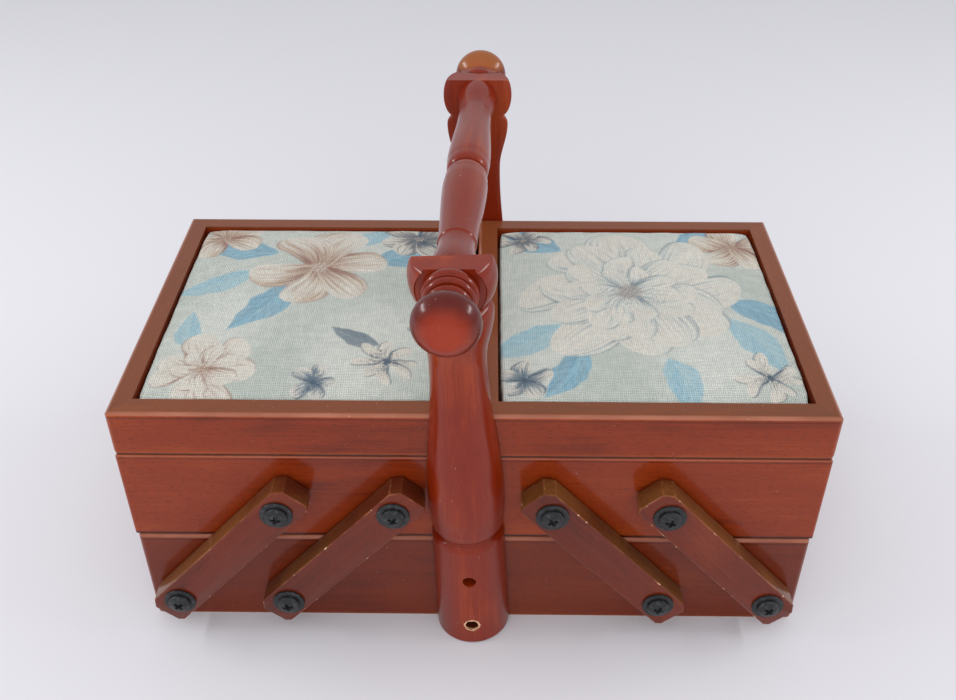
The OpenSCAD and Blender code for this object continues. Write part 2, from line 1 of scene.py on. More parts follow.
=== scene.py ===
"""Looks of a closed wooden sewing carrier with two padded lids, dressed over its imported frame.

Lengths are written in millimetres and turned into metres where a mesh is made. The frame is the
CAD's: +X along the two trays, +Y away from the viewer, +Z up, origin under the base.
"""

from __future__ import annotations

import logging
import math
from contextlib import contextmanager
from dataclasses import dataclass, field
from enum import Enum
from functools import reduce
from typing import Callable, Iterator, Sequence

import bmesh
import bpy
import numpy as np
import numpy.typing as npt
from mathutils import Matrix, Vector


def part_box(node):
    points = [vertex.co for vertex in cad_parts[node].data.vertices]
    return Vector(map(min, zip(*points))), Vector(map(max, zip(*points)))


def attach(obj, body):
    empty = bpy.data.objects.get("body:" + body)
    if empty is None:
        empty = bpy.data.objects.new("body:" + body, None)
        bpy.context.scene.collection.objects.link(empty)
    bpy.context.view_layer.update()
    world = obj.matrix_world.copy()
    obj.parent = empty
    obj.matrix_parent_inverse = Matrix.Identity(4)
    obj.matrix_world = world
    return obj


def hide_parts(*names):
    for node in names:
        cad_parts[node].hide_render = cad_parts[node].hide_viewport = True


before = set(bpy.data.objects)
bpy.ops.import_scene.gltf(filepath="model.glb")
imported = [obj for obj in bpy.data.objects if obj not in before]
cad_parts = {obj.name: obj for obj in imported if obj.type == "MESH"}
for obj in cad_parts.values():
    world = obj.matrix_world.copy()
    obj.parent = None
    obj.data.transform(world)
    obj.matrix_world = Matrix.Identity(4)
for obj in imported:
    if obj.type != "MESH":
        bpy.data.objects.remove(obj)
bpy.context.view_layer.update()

LOG = logging.getLogger("sewing_carrier")
MM = 0.001

Array = npt.NDArray[np.float64]
Faces = npt.NDArray[np.int64]
Socket = bpy.types.NodeSocket
Value = "Socket | float | Sequence[float]"
Screen = tuple[int, int, int]


# Shapes worked out as arrays


def eased(start: Sequence[float], end: Sequence[float], steps: int) -> Array:
    """Points from start to end whose radius follows half a cosine wave, flat at both ends.

    Args:
        start: radius and distance along the axis where the run begins.
        end: radius and distance along the axis where it ends.
        steps: number of points, the end itself left out.

    Returns:
        An array of [radius, along] rows.
    """
    t = np.arange(steps) / steps
    ease = (1 - np.cos(np.pi * t)) / 2
    return np.stack([start[0] + (end[0] - start[0]) * ease, start[1] + (end[1] - start[1]) * t], 1)


def arc(centre: Sequence[float], radii: Sequence[float], start: float, end: float, steps: int) -> Array:
    """Points on an ellipse about a centre, at even angles.

    Args:
        centre: radius and distance along the axis of the ellipse's centre.
        radii: half axes across and along.
        start: first angle in degrees, from the outward direction towards +along.
        end: last angle in degrees.
        steps: number of equal steps.

    Returns:
        An array of [radius, along] rows, steps + 1 of them.
    """
    a = np.radians(np.linspace(start, end, steps + 1))
    return np.stack([centre[0] + radii[0] * np.cos(a), centre[1] + radii[1] * np.sin(a)], 1)


def straight(start: Sequence[float], end: Sequence[float], steps: int) -> Array:
    """Evenly spaced points on a straight line, the end itself left out."""
    t = np.linspace(0, 1, steps, endpoint=False)[:, None]
    return np.asarray(start, float) * (1 - t) + np.asarray(end, float) * t


def full_turn(outline: Array, steps: int) -> Array:
    """Sweeps an outline once round the Z axis: x = r cos a, y = r sin a, z = along.

    Args:
        outline: rows of [radius, along].
        steps: number of points round the axis.

    Returns:
        A grid of points, outline rows by steps by three.
    """
    a = np.linspace(0, 2 * np.pi, steps, endpoint=False)
    r, z = outline[:, :1], outline[:, 1:]
    return np.stack([r * np.cos(a), r * np.sin(a), z + 0 * a], 2)


def half_turn(outline: Array, corner: float, steps: int) -> Array:
    """Sweeps an outline through a half turn below the X axis and closes it with a flat.

    Each level is the half disc y <= 0 of its radius. Its two corners are rounded by circles that
    touch the flat and the half circle from inside, so their centres lie at radius r - corner.

    Args:
        outline: rows of [radius, along].
        corner: radius of the rounded corners, at most a fifth of a level's radius.
        steps: number of points on the half circle.

    Returns:
        A grid of points, outline rows by points round the level by three.
    """
    r, z = outline[:, :1], outline[:, 1:]
    c = np.minimum(corner, r / 5)
    cx = np.sqrt(np.maximum((r - c) ** 2 - c**2, 0))
    tilt = np.arctan2(c, np.maximum(cx, 1e-9))
    t = np.linspace(0, 1, steps)
    a = np.pi + tilt + (np.pi - 2 * tilt) * t
    round_x, round_y = r * np.cos(a), r * np.sin(a)
    u = np.linspace(0, 1, 5)[1:]
    right = -tilt + (np.pi / 2 + tilt) * u
    left = np.pi / 2 + (np.pi / 2 + tilt) * u[:-1]
    right_x, right_y = cx + c * np.cos(right), -c + c * np.sin(right)
    left_x, left_y = -cx + c * np.cos(left), -c + c * np.sin(left)
    flat_x = cx * np.linspace(1, -1, 14)[1:]
    x = np.concatenate([round_x, right_x, flat_x, left_x], 1)
    y = np.concatenate([round_y, right_y, 0 * flat_x, left_y], 1)
    return np.stack([x, y, z + 0 * x], 2)


def ripple(x: Array, y: Array, size: float, seed: int) -> Array:
    """A smooth seeded noise from -1 to 1: the mean of eight sine waves in random directions.

    Args:
        x: first coordinate.
        y: second coordinate.
        size: typical wavelength, in the coordinates' unit.
        seed: seed of the directions, lengths and phases.

    Returns:
        An array shaped like x.
    """
    rng = np.random.default_rng(seed)
    total = np.zeros(np.broadcast(x, y).shape)
    turns, stretches, phases = (rng.uniform(*span, 8) for span in ((0, 2 * np.pi), (0.6, 1.7), (0, 6.3)))
    for turn, stretch, phase in zip(turns, stretches, phases):
        total += np.sin(2 * np.pi / (size * stretch) * (x * np.cos(turn) + y * np.sin(turn)) + phase)
    return np.clip(total / 4, -1, 1)


def smoothstep(low: float, high: float, x: Array) -> Array:
    """The cubic step from 0 at low to 1 at high."""
    t = np.clip((x - low) / (high - low), 0, 1)
    return t * t * (3 - 2 * t)


def grid_faces(rows: int, columns: int, wrap: bool) -> Faces:
    """Quads between neighbouring points of a grid.

    Args:
        rows: number of rows.
        columns: number of columns.
        wrap: whether the last column joins the first.

    Returns:
        An array of four vertex numbers a face.
    """
    i, j = np.meshgrid(np.arange(rows - 1), np.arange(columns if wrap else columns - 1), indexing="ij")
    this, after = i * columns, (i + 1) * columns
    k = (j + 1) % columns
    return np.stack([this + j, this + k, after + k, after + j], 2).reshape(-1, 4)


def gather(grids: Sequence[Array]) -> tuple[Array, Faces]:
    """Joins grids that are closed round their axis.

    Args:
        grids: grids of points.

    Returns:
        One list of points and one of faces.
    """
    faces, start = [], 0
    for grid in grids:
        rows, columns = grid.shape[:2]
        faces.append(grid_faces(rows, columns, True) + start)
        start += rows * columns
    return np.concatenate([grid.reshape(-1, 3) for grid in grids]), np.concatenate(faces)


@contextmanager
def editing(mesh: bpy.types.Mesh) -> Iterator[bmesh.types.BMesh]:
    """Opens a mesh for editing, and writes it back at the end.

    Args:
        mesh: the mesh.

    Yields:
        The open mesh.
    """
    sheet = bmesh.new()
    sheet.from_mesh(mesh)
    yield sheet
    sheet.to_mesh(mesh)
    sheet.free()


def read(items: bpy.types.bpy_prop_collection, key: str, width: int = 1) -> Array:
    """Reads a property of a mesh's parts.

    Args:
        items: the parts, as vertices or faces.
        key: the property's name.
        width: how many numbers it has.

    Returns:
        One row for each part.
    """
    flat = np.zeros(len(items) * width)
    items.foreach_get(key, flat)
    return flat.reshape(-1, width)


def make_piece(name: str, points: Array, faces: Faces, place: Matrix = Matrix()) -> bpy.types.Object:
    """Puts points and faces into a new object at the origin, its place in its mesh.

    Doubles are merged, so that poles and seams are closed, and faces are turned outwards.

    Args:
        name: the piece's name.
        points: points in millimetres, in any shape that ends in three.
        faces: vertex numbers of each face.
        place: where the points go, with lengths in millimetres.

    Returns:
        The new object.
    """
    mesh = bpy.data.meshes.new(name)
    mesh.from_pydata(points.reshape(-1, 3).tolist(), [], faces.tolist())
    piece = bpy.data.objects.new(name, mesh)
    bpy.context.scene.collection.objects.link(piece)
    mesh.transform(Matrix.Scale(MM, 4) @ place)
    with editing(mesh) as sheet:
        bmesh.ops.remove_doubles(sheet, verts=sheet.verts, dist=2e-6)
        bmesh.ops.recalc_face_normals(sheet, faces=sheet.faces)
    return piece


def smooth(piece: bpy.types.Object, angle: float = 35) -> None:
    """Shades a piece smoothly, apart from its sharp edges.

    Args:
        piece: the piece.
        angle: the angle from which an edge is sharp, in degrees.
    """
    mesh = piece.data
    mesh.polygons.foreach_set("use_smooth", np.ones(len(mesh.polygons), bool))
    mesh.set_sharp_from_angle(angle=math.radians(angle))
    mesh.update()


def apply_modifiers(piece: bpy.types.Object) -> None:
    """Replaces a piece's mesh by what its modifiers make of it, and drops the modifiers.

    Args:
        piece: the piece.
    """
    graph = bpy.context.evaluated_depsgraph_get()
    graph.update()
    mesh = bpy.data.meshes.new_from_object(piece.evaluated_get(graph), depsgraph=graph)
    old = piece.data
    piece.modifiers.clear()
    piece.data = mesh
    mesh.name = old.name
    bpy.data.meshes.remove(old)


def carve(piece: bpy.types.Object, cutters: Sequence[bpy.types.Object]) -> None:
    """Cuts closed shapes out of a piece and deletes them.

    Args:
        piece: the piece that is cut.
        cutters: the shapes, which are removed afterwards.
    """
    for cutter in cutters:
        cut = piece.modifiers.new("cut", "BOOLEAN")
        cut.operation = "DIFFERENCE"
        cut.solver = "EXACT"
        cut.object = cutter
    apply_modifiers(piece)
    for cutter in cutters:
        bpy.data.objects.remove(cutter)


def stand_for(
    piece: bpy.types.Object, node: str, body: str, material: bpy.types.Material
) -> str:
    """Gives a piece its material and lets it stand for a CAD node.

    Args:
        piece: the piece.
        node: the node that it replaces.
        body: the body that it rides on.
        material: its material.

    Returns:
        The piece's name.
    """
    piece.data.materials.clear()
    piece.data.materials.append(material)
    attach(piece, body)
    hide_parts(node)
    return piece.name


# Shader nodes in a few words each


def srgb(red: int, green: int, blue: int) -> tuple[float, float, float, float]:
    """A colour as a screen shows it, turned into the linear values that shaders take.

    Args:
        red: red, 0 to 255.
        green: green, 0 to 255.
        blue: blue, 0 to 255.

    Returns:
        Linear red, green and blue, and an alpha of 1.
    """
    c = np.array([red, green, blue]) / 255
    lin = np.where(c <= 0.04045, c / 12.92, ((c + 0.055) / 1.055) ** 2.4)
    return (*(float(v) for v in lin), 1.0)


class NodeSheet:
    """Adds nodes to one node tree and links them."""

    def __init__(self, tree: bpy.types.NodeTree) -> None:
        """Starts on a node tree.

        Args:
            tree: the tree that takes the nodes.
        """
        self.tree = tree

    def add(self, kind: str, **settings: object) -> bpy.types.Node:
        """Adds a node and sets its settings.

        Args:
            kind: the node's type name without "ShaderNode".
            **settings: the node's own properties.

        Returns:
            The new node.
        """
        node = self.tree.nodes.new("ShaderNode" + kind)
        for key, setting in settings.items():
            setattr(node, key, setting)
        return node

    def feed(self, target: Socket, source: Value) -> None:
        """Links a socket into a target, or sets the target's own value.

        Args:
            target: the socket that takes the value.
            source: a socket or a plain value.
        """
        if isinstance(source, bpy.types.NodeSocket):
            self.tree.links.new(source, target)
        else:
            target.default_value = source

    def math(self, operation: str, a: Value, b: Value = 0.0) -> Socket:
        """A number worked out from one or two others.

        Args:
            operation: Blender's name of the operation.
            a: first number.
            b: second number.

        Returns:
            The socket with the result.
        """
        node = self.add("Math", operation=operation)
        self.feed(node.inputs[0], a)
        self.feed(node.inputs[1], b)
        return node.outputs[0]

    def times(self, *parts: Value) -> Socket:
        """The product of some numbers."""
        return reduce(lambda a, b: self.math("MULTIPLY", a, b), parts)

    def plus(self, *parts: Value) -> Socket:
        """The sum of some numbers."""
        return reduce(lambda a, b: self.math("ADD", a, b), parts)

    def minus(self, a: Value, b: Value = 0.5) -> Socket:
        """One number less another, by default less a half, which centres a noise."""
        return self.math("SUBTRACT", a, b)

    def away(self, a: Value, b: Value) -> Socket:
        """How far apart two numbers are."""
        return self.math("ABSOLUTE", self.minus(a, b))

    def blend(self, first: Value, second: Value, share: Value) -> Socket:
        """The first number where the share is 0 and the second where it is 1."""
        return self.plus(self.times(first, self.minus(1, share)), self.times(second, share))

    def vector(self, operation: str, a: Value, b: Value = (0, 0, 0)) -> Socket:
        """A vector worked out from one or two others.

        Args:
            operation: Blender's name of the operation.
            a: first vector.
            b: second vector.

        Returns:
            The socket with the resulting vector, or with the first vector's length.
        """
        node = self.add("VectorMath", operation=operation)
        self.feed(node.inputs[0], a)
        if not node.inputs[1].is_unavailable:
            self.feed(node.inputs[1], b)
        return node.outputs["Value" if operation == "LENGTH" else "Vector"]

    def split(self, vector: Socket) -> tuple[Socket, Socket, Socket]:
        """Takes a vector apart.

        Args:
            vector: the vector.

        Returns:
            Sockets with its X, Y and Z.
        """
        node = self.add("SeparateXYZ")
        self.feed(node.inputs[0], vector)
        return node.outputs[0], node.outputs[1], node.outputs[2]

    def join(self, x: Value, y: Value, z: Value) -> Socket:
        """Puts a vector together.

        Args:
            x: its X.
            y: its Y.
            z: its Z.

        Returns:
            The socket with the vector.
        """
        node = self.add("CombineXYZ")
        for target, part in zip(node.inputs, (x, y, z)):
            self.feed(target, part)
        return node.outputs[0]

    def noise(
        self, place: Value, scale: Value, detail: float = 2, rough: float = 0.5, bend: float = 0
    ) -> Socket:
        """A noise from 0 to 1.

        Args:
            place: where it is read.
            scale: cells a metre.
            detail: number of finer layers.
            rough: strength of the finer layers.
            bend: how far the noise bends itself.

        Returns:
            The socket with the noise.
        """
        node = self.add("TexNoise")
        self.feed(node.inputs["Vector"], place)
        self.feed(node.inputs["Scale"], scale)
        node.inputs["Detail"].default_value = detail
        node.inputs["Roughness"].default_value = rough
        node.inputs["Distortion"].default_value = bend
        return node.outputs["Fac"]

    def span(self, x: Value, low: Value, high: Value, to_low: Value = 0.0, to_high: Value = 1.0) -> Socket:
        """A number carried smoothly from one span to another and held at its ends.

        Args:
            x: the number.
            low: start of its span.
            high: end of its span.
            to_low: result at low.
            to_high: result at high.

        Returns:
            The socket with the result.
        """
        node = self.add("MapRange", interpolation_type="SMOOTHSTEP")
        for target, part in zip(node.inputs, (x, low, high, to_low, to_high)):
            self.feed(target, part)
        return node.outputs[0]

    def mix(self, factor: Value, a: Value, b: Value, blend: str = "MIX") -> Socket:
        """A colour mixed from two others.

        Args:
            factor: share of the second colour.
            a: first colour.
            b: second colour.
            blend: Blender's name of the way of mixing.

        Returns:
            The socket with the colour.
        """
        node = self.add("Mix", data_type="RGBA", blend_type=blend)
        self.feed(node.inputs["Factor"], factor)
        self.feed(node.inputs[6], a)
        self.feed(node.inputs[7], b)
        return node.outputs[2]

    def group(self, tree: bpy.types.NodeTree, **inputs: Value) -> bpy.types.Node:
        """Places a node group and feeds its inputs.

        Args:
            tree: the group's tree.
            **inputs: the group's inputs by name, with spaces written as underscores.

        Returns:
            The group's node.
        """
        node = self.add("Group", node_tree=tree)
        for key, source in inputs.items():
            self.feed(node.inputs[key.replace("_", " ")], source)
        return node


def start_group(
    name: str, inputs: dict[str, str], outputs: dict[str, str]
) -> tuple[NodeSheet, bpy.types.Node, bpy.types.Node]:
    """Starts a shader node group with named sockets.

    Args:
        name: the group's name.
        inputs: socket type of each input, by name, as Float, Color or Vector.
        outputs: socket type of each output, by name.

    Returns:
        The sheet to add nodes with, the group's input node and its output node.
    """
    tree = bpy.data.node_groups.new(name, "ShaderNodeTree")
    for way, sockets in (("INPUT", inputs), ("OUTPUT", outputs)):
        for label, kind in sockets.items():
            tree.interface.new_socket(name=label, in_out=way, socket_type="NodeSocket" + kind)
    sheet = NodeSheet(tree)
    return sheet, tree.nodes.new("NodeGroupInput"), tree.nodes.new("NodeGroupOutput")


def stained_wood_group() -> bpy.types.NodeTree:
    """Builds the look of stained close-grained wood whose grain runs along X.

    The stain's depth wanders in clouds drawn out along the grain, fine streaks run through it, and
    short dark pores lie in it as dashes.

    Returns:
        The group's tree.
    """
    sheet, given, result = start_group(
        "Stained wood",
        {
            "Place": "Vector",
            "Light": "Color",
            "Middle": "Color",
            "Deep": "Color",
            "Clouds": "Float",
            "Pores": "Float",
        },
        {"Color": "Color", "Roughness": "Float", "Height": "Float"},
    )
    place = given.outputs["Place"]
    clouds = sheet.noise(sheet.vector("MULTIPLY", place, (9, 26, 26)), 1, 3, 0.55, 0.4)
    bands = sheet.noise(sheet.vector("MULTIPLY", place, (7, 190, 190)), 1, 3, 0.6, 0.6)
    streaks = sheet.noise(sheet.vector("MULTIPLY", place, (34, 1250, 1250)), 1, 2, 0.6)
    dashes = sheet.noise(sheet.vector("MULTIPLY", place, (330, 2300, 2300)), 1, 1, 0.5)
    pores = sheet.times(sheet.span(dashes, 0.54, 0.72), given.outputs["Pores"])
    cloudy = sheet.times(sheet.minus(clouds), given.outputs["Clouds"])
    banded = sheet.times(sheet.minus(bands), 0.3)
    streaky = sheet.times(sheet.minus(streaks), 0.34)
    depth = sheet.plus(cloudy, 0.5, banded, streaky)
    low = sheet.mix(sheet.span(depth, 0.15, 0.5), given.outputs["Deep"], given.outputs["Middle"])
    tone = sheet.mix(sheet.span(depth, 0.5, 0.9), low, given.outputs["Light"])
    tone = sheet.mix(sheet.times(pores, 0.5), tone, given.outputs["Deep"])
    sheet.feed(result.inputs["Color"], tone)
    sheet.feed(result.inputs["Roughness"], sheet.span(streaks, 0.2, 0.8, 0.27, 0.38))
    sheet.feed(result.inputs["Height"], sheet.minus(sheet.times(streaks, 0.4), pores))
    return sheet.tree


def box_edge_group() -> bpy.types.NodeTree:
    """Builds a mask of the edges of a box, and the depth behind its four upright sides.

    On a box's surface the distances to the nearest side along X, Y and Z are 0, the distance to
    the nearest edge and a longer one, so the middle one of the three is the distance to the edge.

    Returns:
        The group's tree.
    """
    sheet, given, result = start_group(
        "Box edges",
        {"Place": "Vector", "Low": "Vector", "High": "Vector", "Width": "Float", "Raggedness": "Float"},
        {"Mask": "Float", "Depth": "Float"},
    )
    place = given.outputs["Place"]
    near = sheet.vector(
        "MINIMUM",
        sheet.vector("SUBTRACT", place, given.outputs["Low"]),
        sheet.vector("SUBTRACT", given.outputs["High"], place),
    )
    x, y, z = sheet.split(sheet.vector("ABSOLUTE", near))
    least = sheet.math("MINIMUM", sheet.math("MINIMUM", x, y), z)
    most = sheet.math("MAXIMUM", sheet.math("MAXIMUM", x, y), z)
    middle = sheet.minus(sheet.minus(sheet.plus(x, y, z), least), most)
    rag = sheet.times(sheet.minus(sheet.noise(place, 260, 3, 0.6)), given.outputs["Raggedness"])
    reach = sheet.times(given.outputs["Width"], sheet.plus(rag, 1))
    sheet.feed(result.inputs["Mask"], sheet.span(middle, reach, 0.0))
    sheet.feed(result.inputs["Depth"], sheet.math("MINIMUM", x, y))
    return sheet.tree


def wear_group() -> bpy.types.NodeTree:
    """Builds handling marks: faint rubbed patches, hair scratches and specks of dust.

    Returns:
        The group's tree.
    """
    sheet, given, result = start_group(
        "Handling marks",
        {"Place": "Vector", "Amount": "Float"},
        {"Rubbed": "Float", "Dust": "Float", "Height": "Float"},
    )
    place = given.outputs["Place"]
    patches = sheet.span(sheet.noise(place, 21, 4, 0.6), 0.5, 0.72)
    hairs = sheet.noise(sheet.vector("MULTIPLY", place, (60, 900, 420)), 1, 2, 0.5, 2.2)
    scratches = sheet.span(hairs, 0.70, 0.76)
    rubbed = sheet.plus(sheet.times(patches, 0.6), sheet.times(scratches, 0.4))
    specks = sheet.span(sheet.noise(place, 950, 0, 0.5), 0.84, 0.88)
    sheet.feed(result.inputs["Rubbed"], sheet.times(rubbed, given.outputs["Amount"]))
    sheet.feed(result.inputs["Dust"], sheet.times(specks, given.outputs["Amount"]))
    sheet.feed(result.inputs["Height"], sheet.times(scratches, -0.3))
    return sheet.tree


def canvas_weave_group() -> bpy.types.NodeTree:
    """Builds a plain canvas weave in the X and Y of its place, one thread to each pitch.

    Across a thread its height follows half a cosine. Where the row and column numbers add up to
    an even number the warp lies on top, and otherwise the weft, so the two heights swap.

    Returns:
        The group's tree.
    """
    sheet, given, result = start_group(
        "Canvas weave",
        {"Place": "Vector", "Pitch": "Float"},
        {"Height": "Float", "Gap": "Float", "Slub": "Float"},
    )
    bend = sheet.times(sheet.minus(sheet.noise(given.outputs["Place"], 60, 2)), 0.0011)
    x, y, _ = sheet.split(given.outputs["Place"])
    threads, heights = [], []
    for place in (sheet.plus(x, bend), sheet.minus(y, bend)):
        count = sheet.math("DIVIDE", place, given.outputs["Pitch"])
        turn = sheet.times(sheet.minus(sheet.math("FRACT", count)), math.pi)
        threads.append(sheet.math("FLOOR", count))
        heights.append(sheet.math("ABSOLUTE", sheet.math("COSINE", turn)))
    numbers = sheet.plus(*threads)
    pairs = sheet.math("FLOOR", sheet.math("DIVIDE", numbers, 2))
    parity = sheet.away(numbers, sheet.times(pairs, 2))
    warp, weft = (
        sheet.times(sheet.math("POWER", over, 0.6), sheet.plus(sheet.times(under, 0.5), 0.5))
        for over, under in (heights, heights[::-1])
    )
    height = sheet.blend(warp, weft, parity)
    yarn = sheet.noise(sheet.join(sheet.times(threads[0], 7.3), sheet.times(y, 160), 0), 1, 1)
    pick = sheet.noise(sheet.join(sheet.times(threads[1], 5.9), sheet.times(x, 160), 4), 1, 1)
    slub = sheet.blend(yarn, pick, parity)
    sheet.feed(result.inputs["Height"], height)
    # Mask of the hollows between threads, which the canvas darkens as painted shade
    sheet.feed(result.inputs["Gap"], sheet.span(height, 0.55, 0.1))
    sheet.feed(result.inputs["Slub"], slub)
    return sheet.tree


# Finishes


class Grain(Enum):
    """Which way a board's grain runs, as the turn that brings it onto X."""

    ALONG_X = (0.0, 0.0, 0.0)
    ALONG_Y = (0.0, 0.0, -90.0)
    ALONG_Z = (0.0, 90.0, 0.0)
    LEFT_ARM = (0.0, 48.0, 0.0)
    RIGHT_ARM = (0.0, -48.0, 0.0)


@dataclass(frozen=True)
class StainColours:
    """The stain's colours, as a screen shows them."""

    light: Screen
    middle: Screen
    deep: Screen
    edge: Screen


# Colours, as a screen shows them
DUST = (205, 190, 175)
# Painted sheen on the rails' upper faces, standing in for the light that falls on them, and the darker red
# along their outer edges
RAIL_TOP_SHEEN, RAIL_RIM = (112, 70, 42), (92, 26, 14)
# Painted highlight along upper edges, the painted shade line under it, and painted shade in the seams
CREST_HIGHLIGHT, CREST_SHADE_LINE, SEAM_SHADE = (192, 130, 106), (60, 18, 10), (30, 11, 8)
# Ball colours: darker round the middle, partly deep stain and partly painted shade; lighter at the tip,
# partly rubbed stain and partly painted highlight; and the back ball's painted lighter top
BALL_DEEP_STAIN_AND_SHADE, BALL_RUBBED_AND_HIGHLIGHT, BALL_LIT_TOP = (72, 10, 6), (164, 48, 10), (168, 100, 48)
# A hole's splintered pale rim, and the painted shade inside its bore
HOLE_RIM, HOLE_SHADE = (224, 184, 146), (58, 30, 18)
SAWN_DARK, SAWN_PALE, SAWN_GRAIN = (84, 34, 18), (120, 78, 38), (84, 40, 20)
ARM_RUBBED, ARM_CHIP = (166, 104, 66), (226, 190, 150)
STEEL_BLACK, STEEL_RUBBED = (42, 43, 45), (74, 76, 78)
BRASS_CLEAN, BRASS_TARNISHED = (190, 150, 84), (116, 82, 44)
# Painted shade in the canvas's thread gaps, and the evenly pale floor
THREAD_GAP_SHADE, PALE_FLOOR = (108, 114, 108), (214, 213, 218)

# Levels of the gaps between lid and tray and between tray and base, in metres, where painted shade darkens
# the seam
SEAMS = (0.0990, 0.0524)
# Painted highlights along the upper edges of the lids, the trays and the base, each with a painted shade line
# below it: level, half width and strength
CRESTS = ((0.1202, 0.0009, 0.55), (0.0978, 0.0004, 0.35), (0.0507, 0.0010, 0.5))
# Where the rails' upper faces begin, over which their painted sheen sets in, and where a post's round face
# lies from its axis
TOP_FACE = (0.1196, 0.1208)
POST_FACE = -0.0158
# Radii on a ball from which it darkens, partly deeper stain and partly painted shade, and from which it
# lightens towards the tip, partly rubbed stain and partly painted highlight
BALL_RING, BALL_TIP = (0.0078, 0.0120), (0.0108, 0.0040)
# Levels and depths over which the back ball's painted lighter, tanner top sets in, standing in for the light
# that falls on it
BALL_TOP, BALL_BACK = (0.1880, 0.1950), (0.098, 0.104)
THREAD_PITCH = 0.00088

BOARD_STAIN = StainColours((160, 70, 22), (130, 46, 14), (82, 24, 9), (172, 90, 38))
# The base's stain is the boards' stain painted darker, as painted shade for the lowest boards, which get less
# light
SHADED_BASE_STAIN = StainColours((134, 56, 20), (106, 38, 14), (72, 22, 9), (150, 78, 34))
TURNED_STAIN = StainColours((158, 60, 12), (118, 31, 7), (74, 12, 4), (180, 88, 26))
ARM_STAIN = StainColours((128, 52, 24), (102, 37, 18), (72, 24, 13), (134, 84, 40))
PLY_STAIN = StainColours((176, 112, 70), (150, 88, 54), (112, 60, 38), (180, 120, 80))


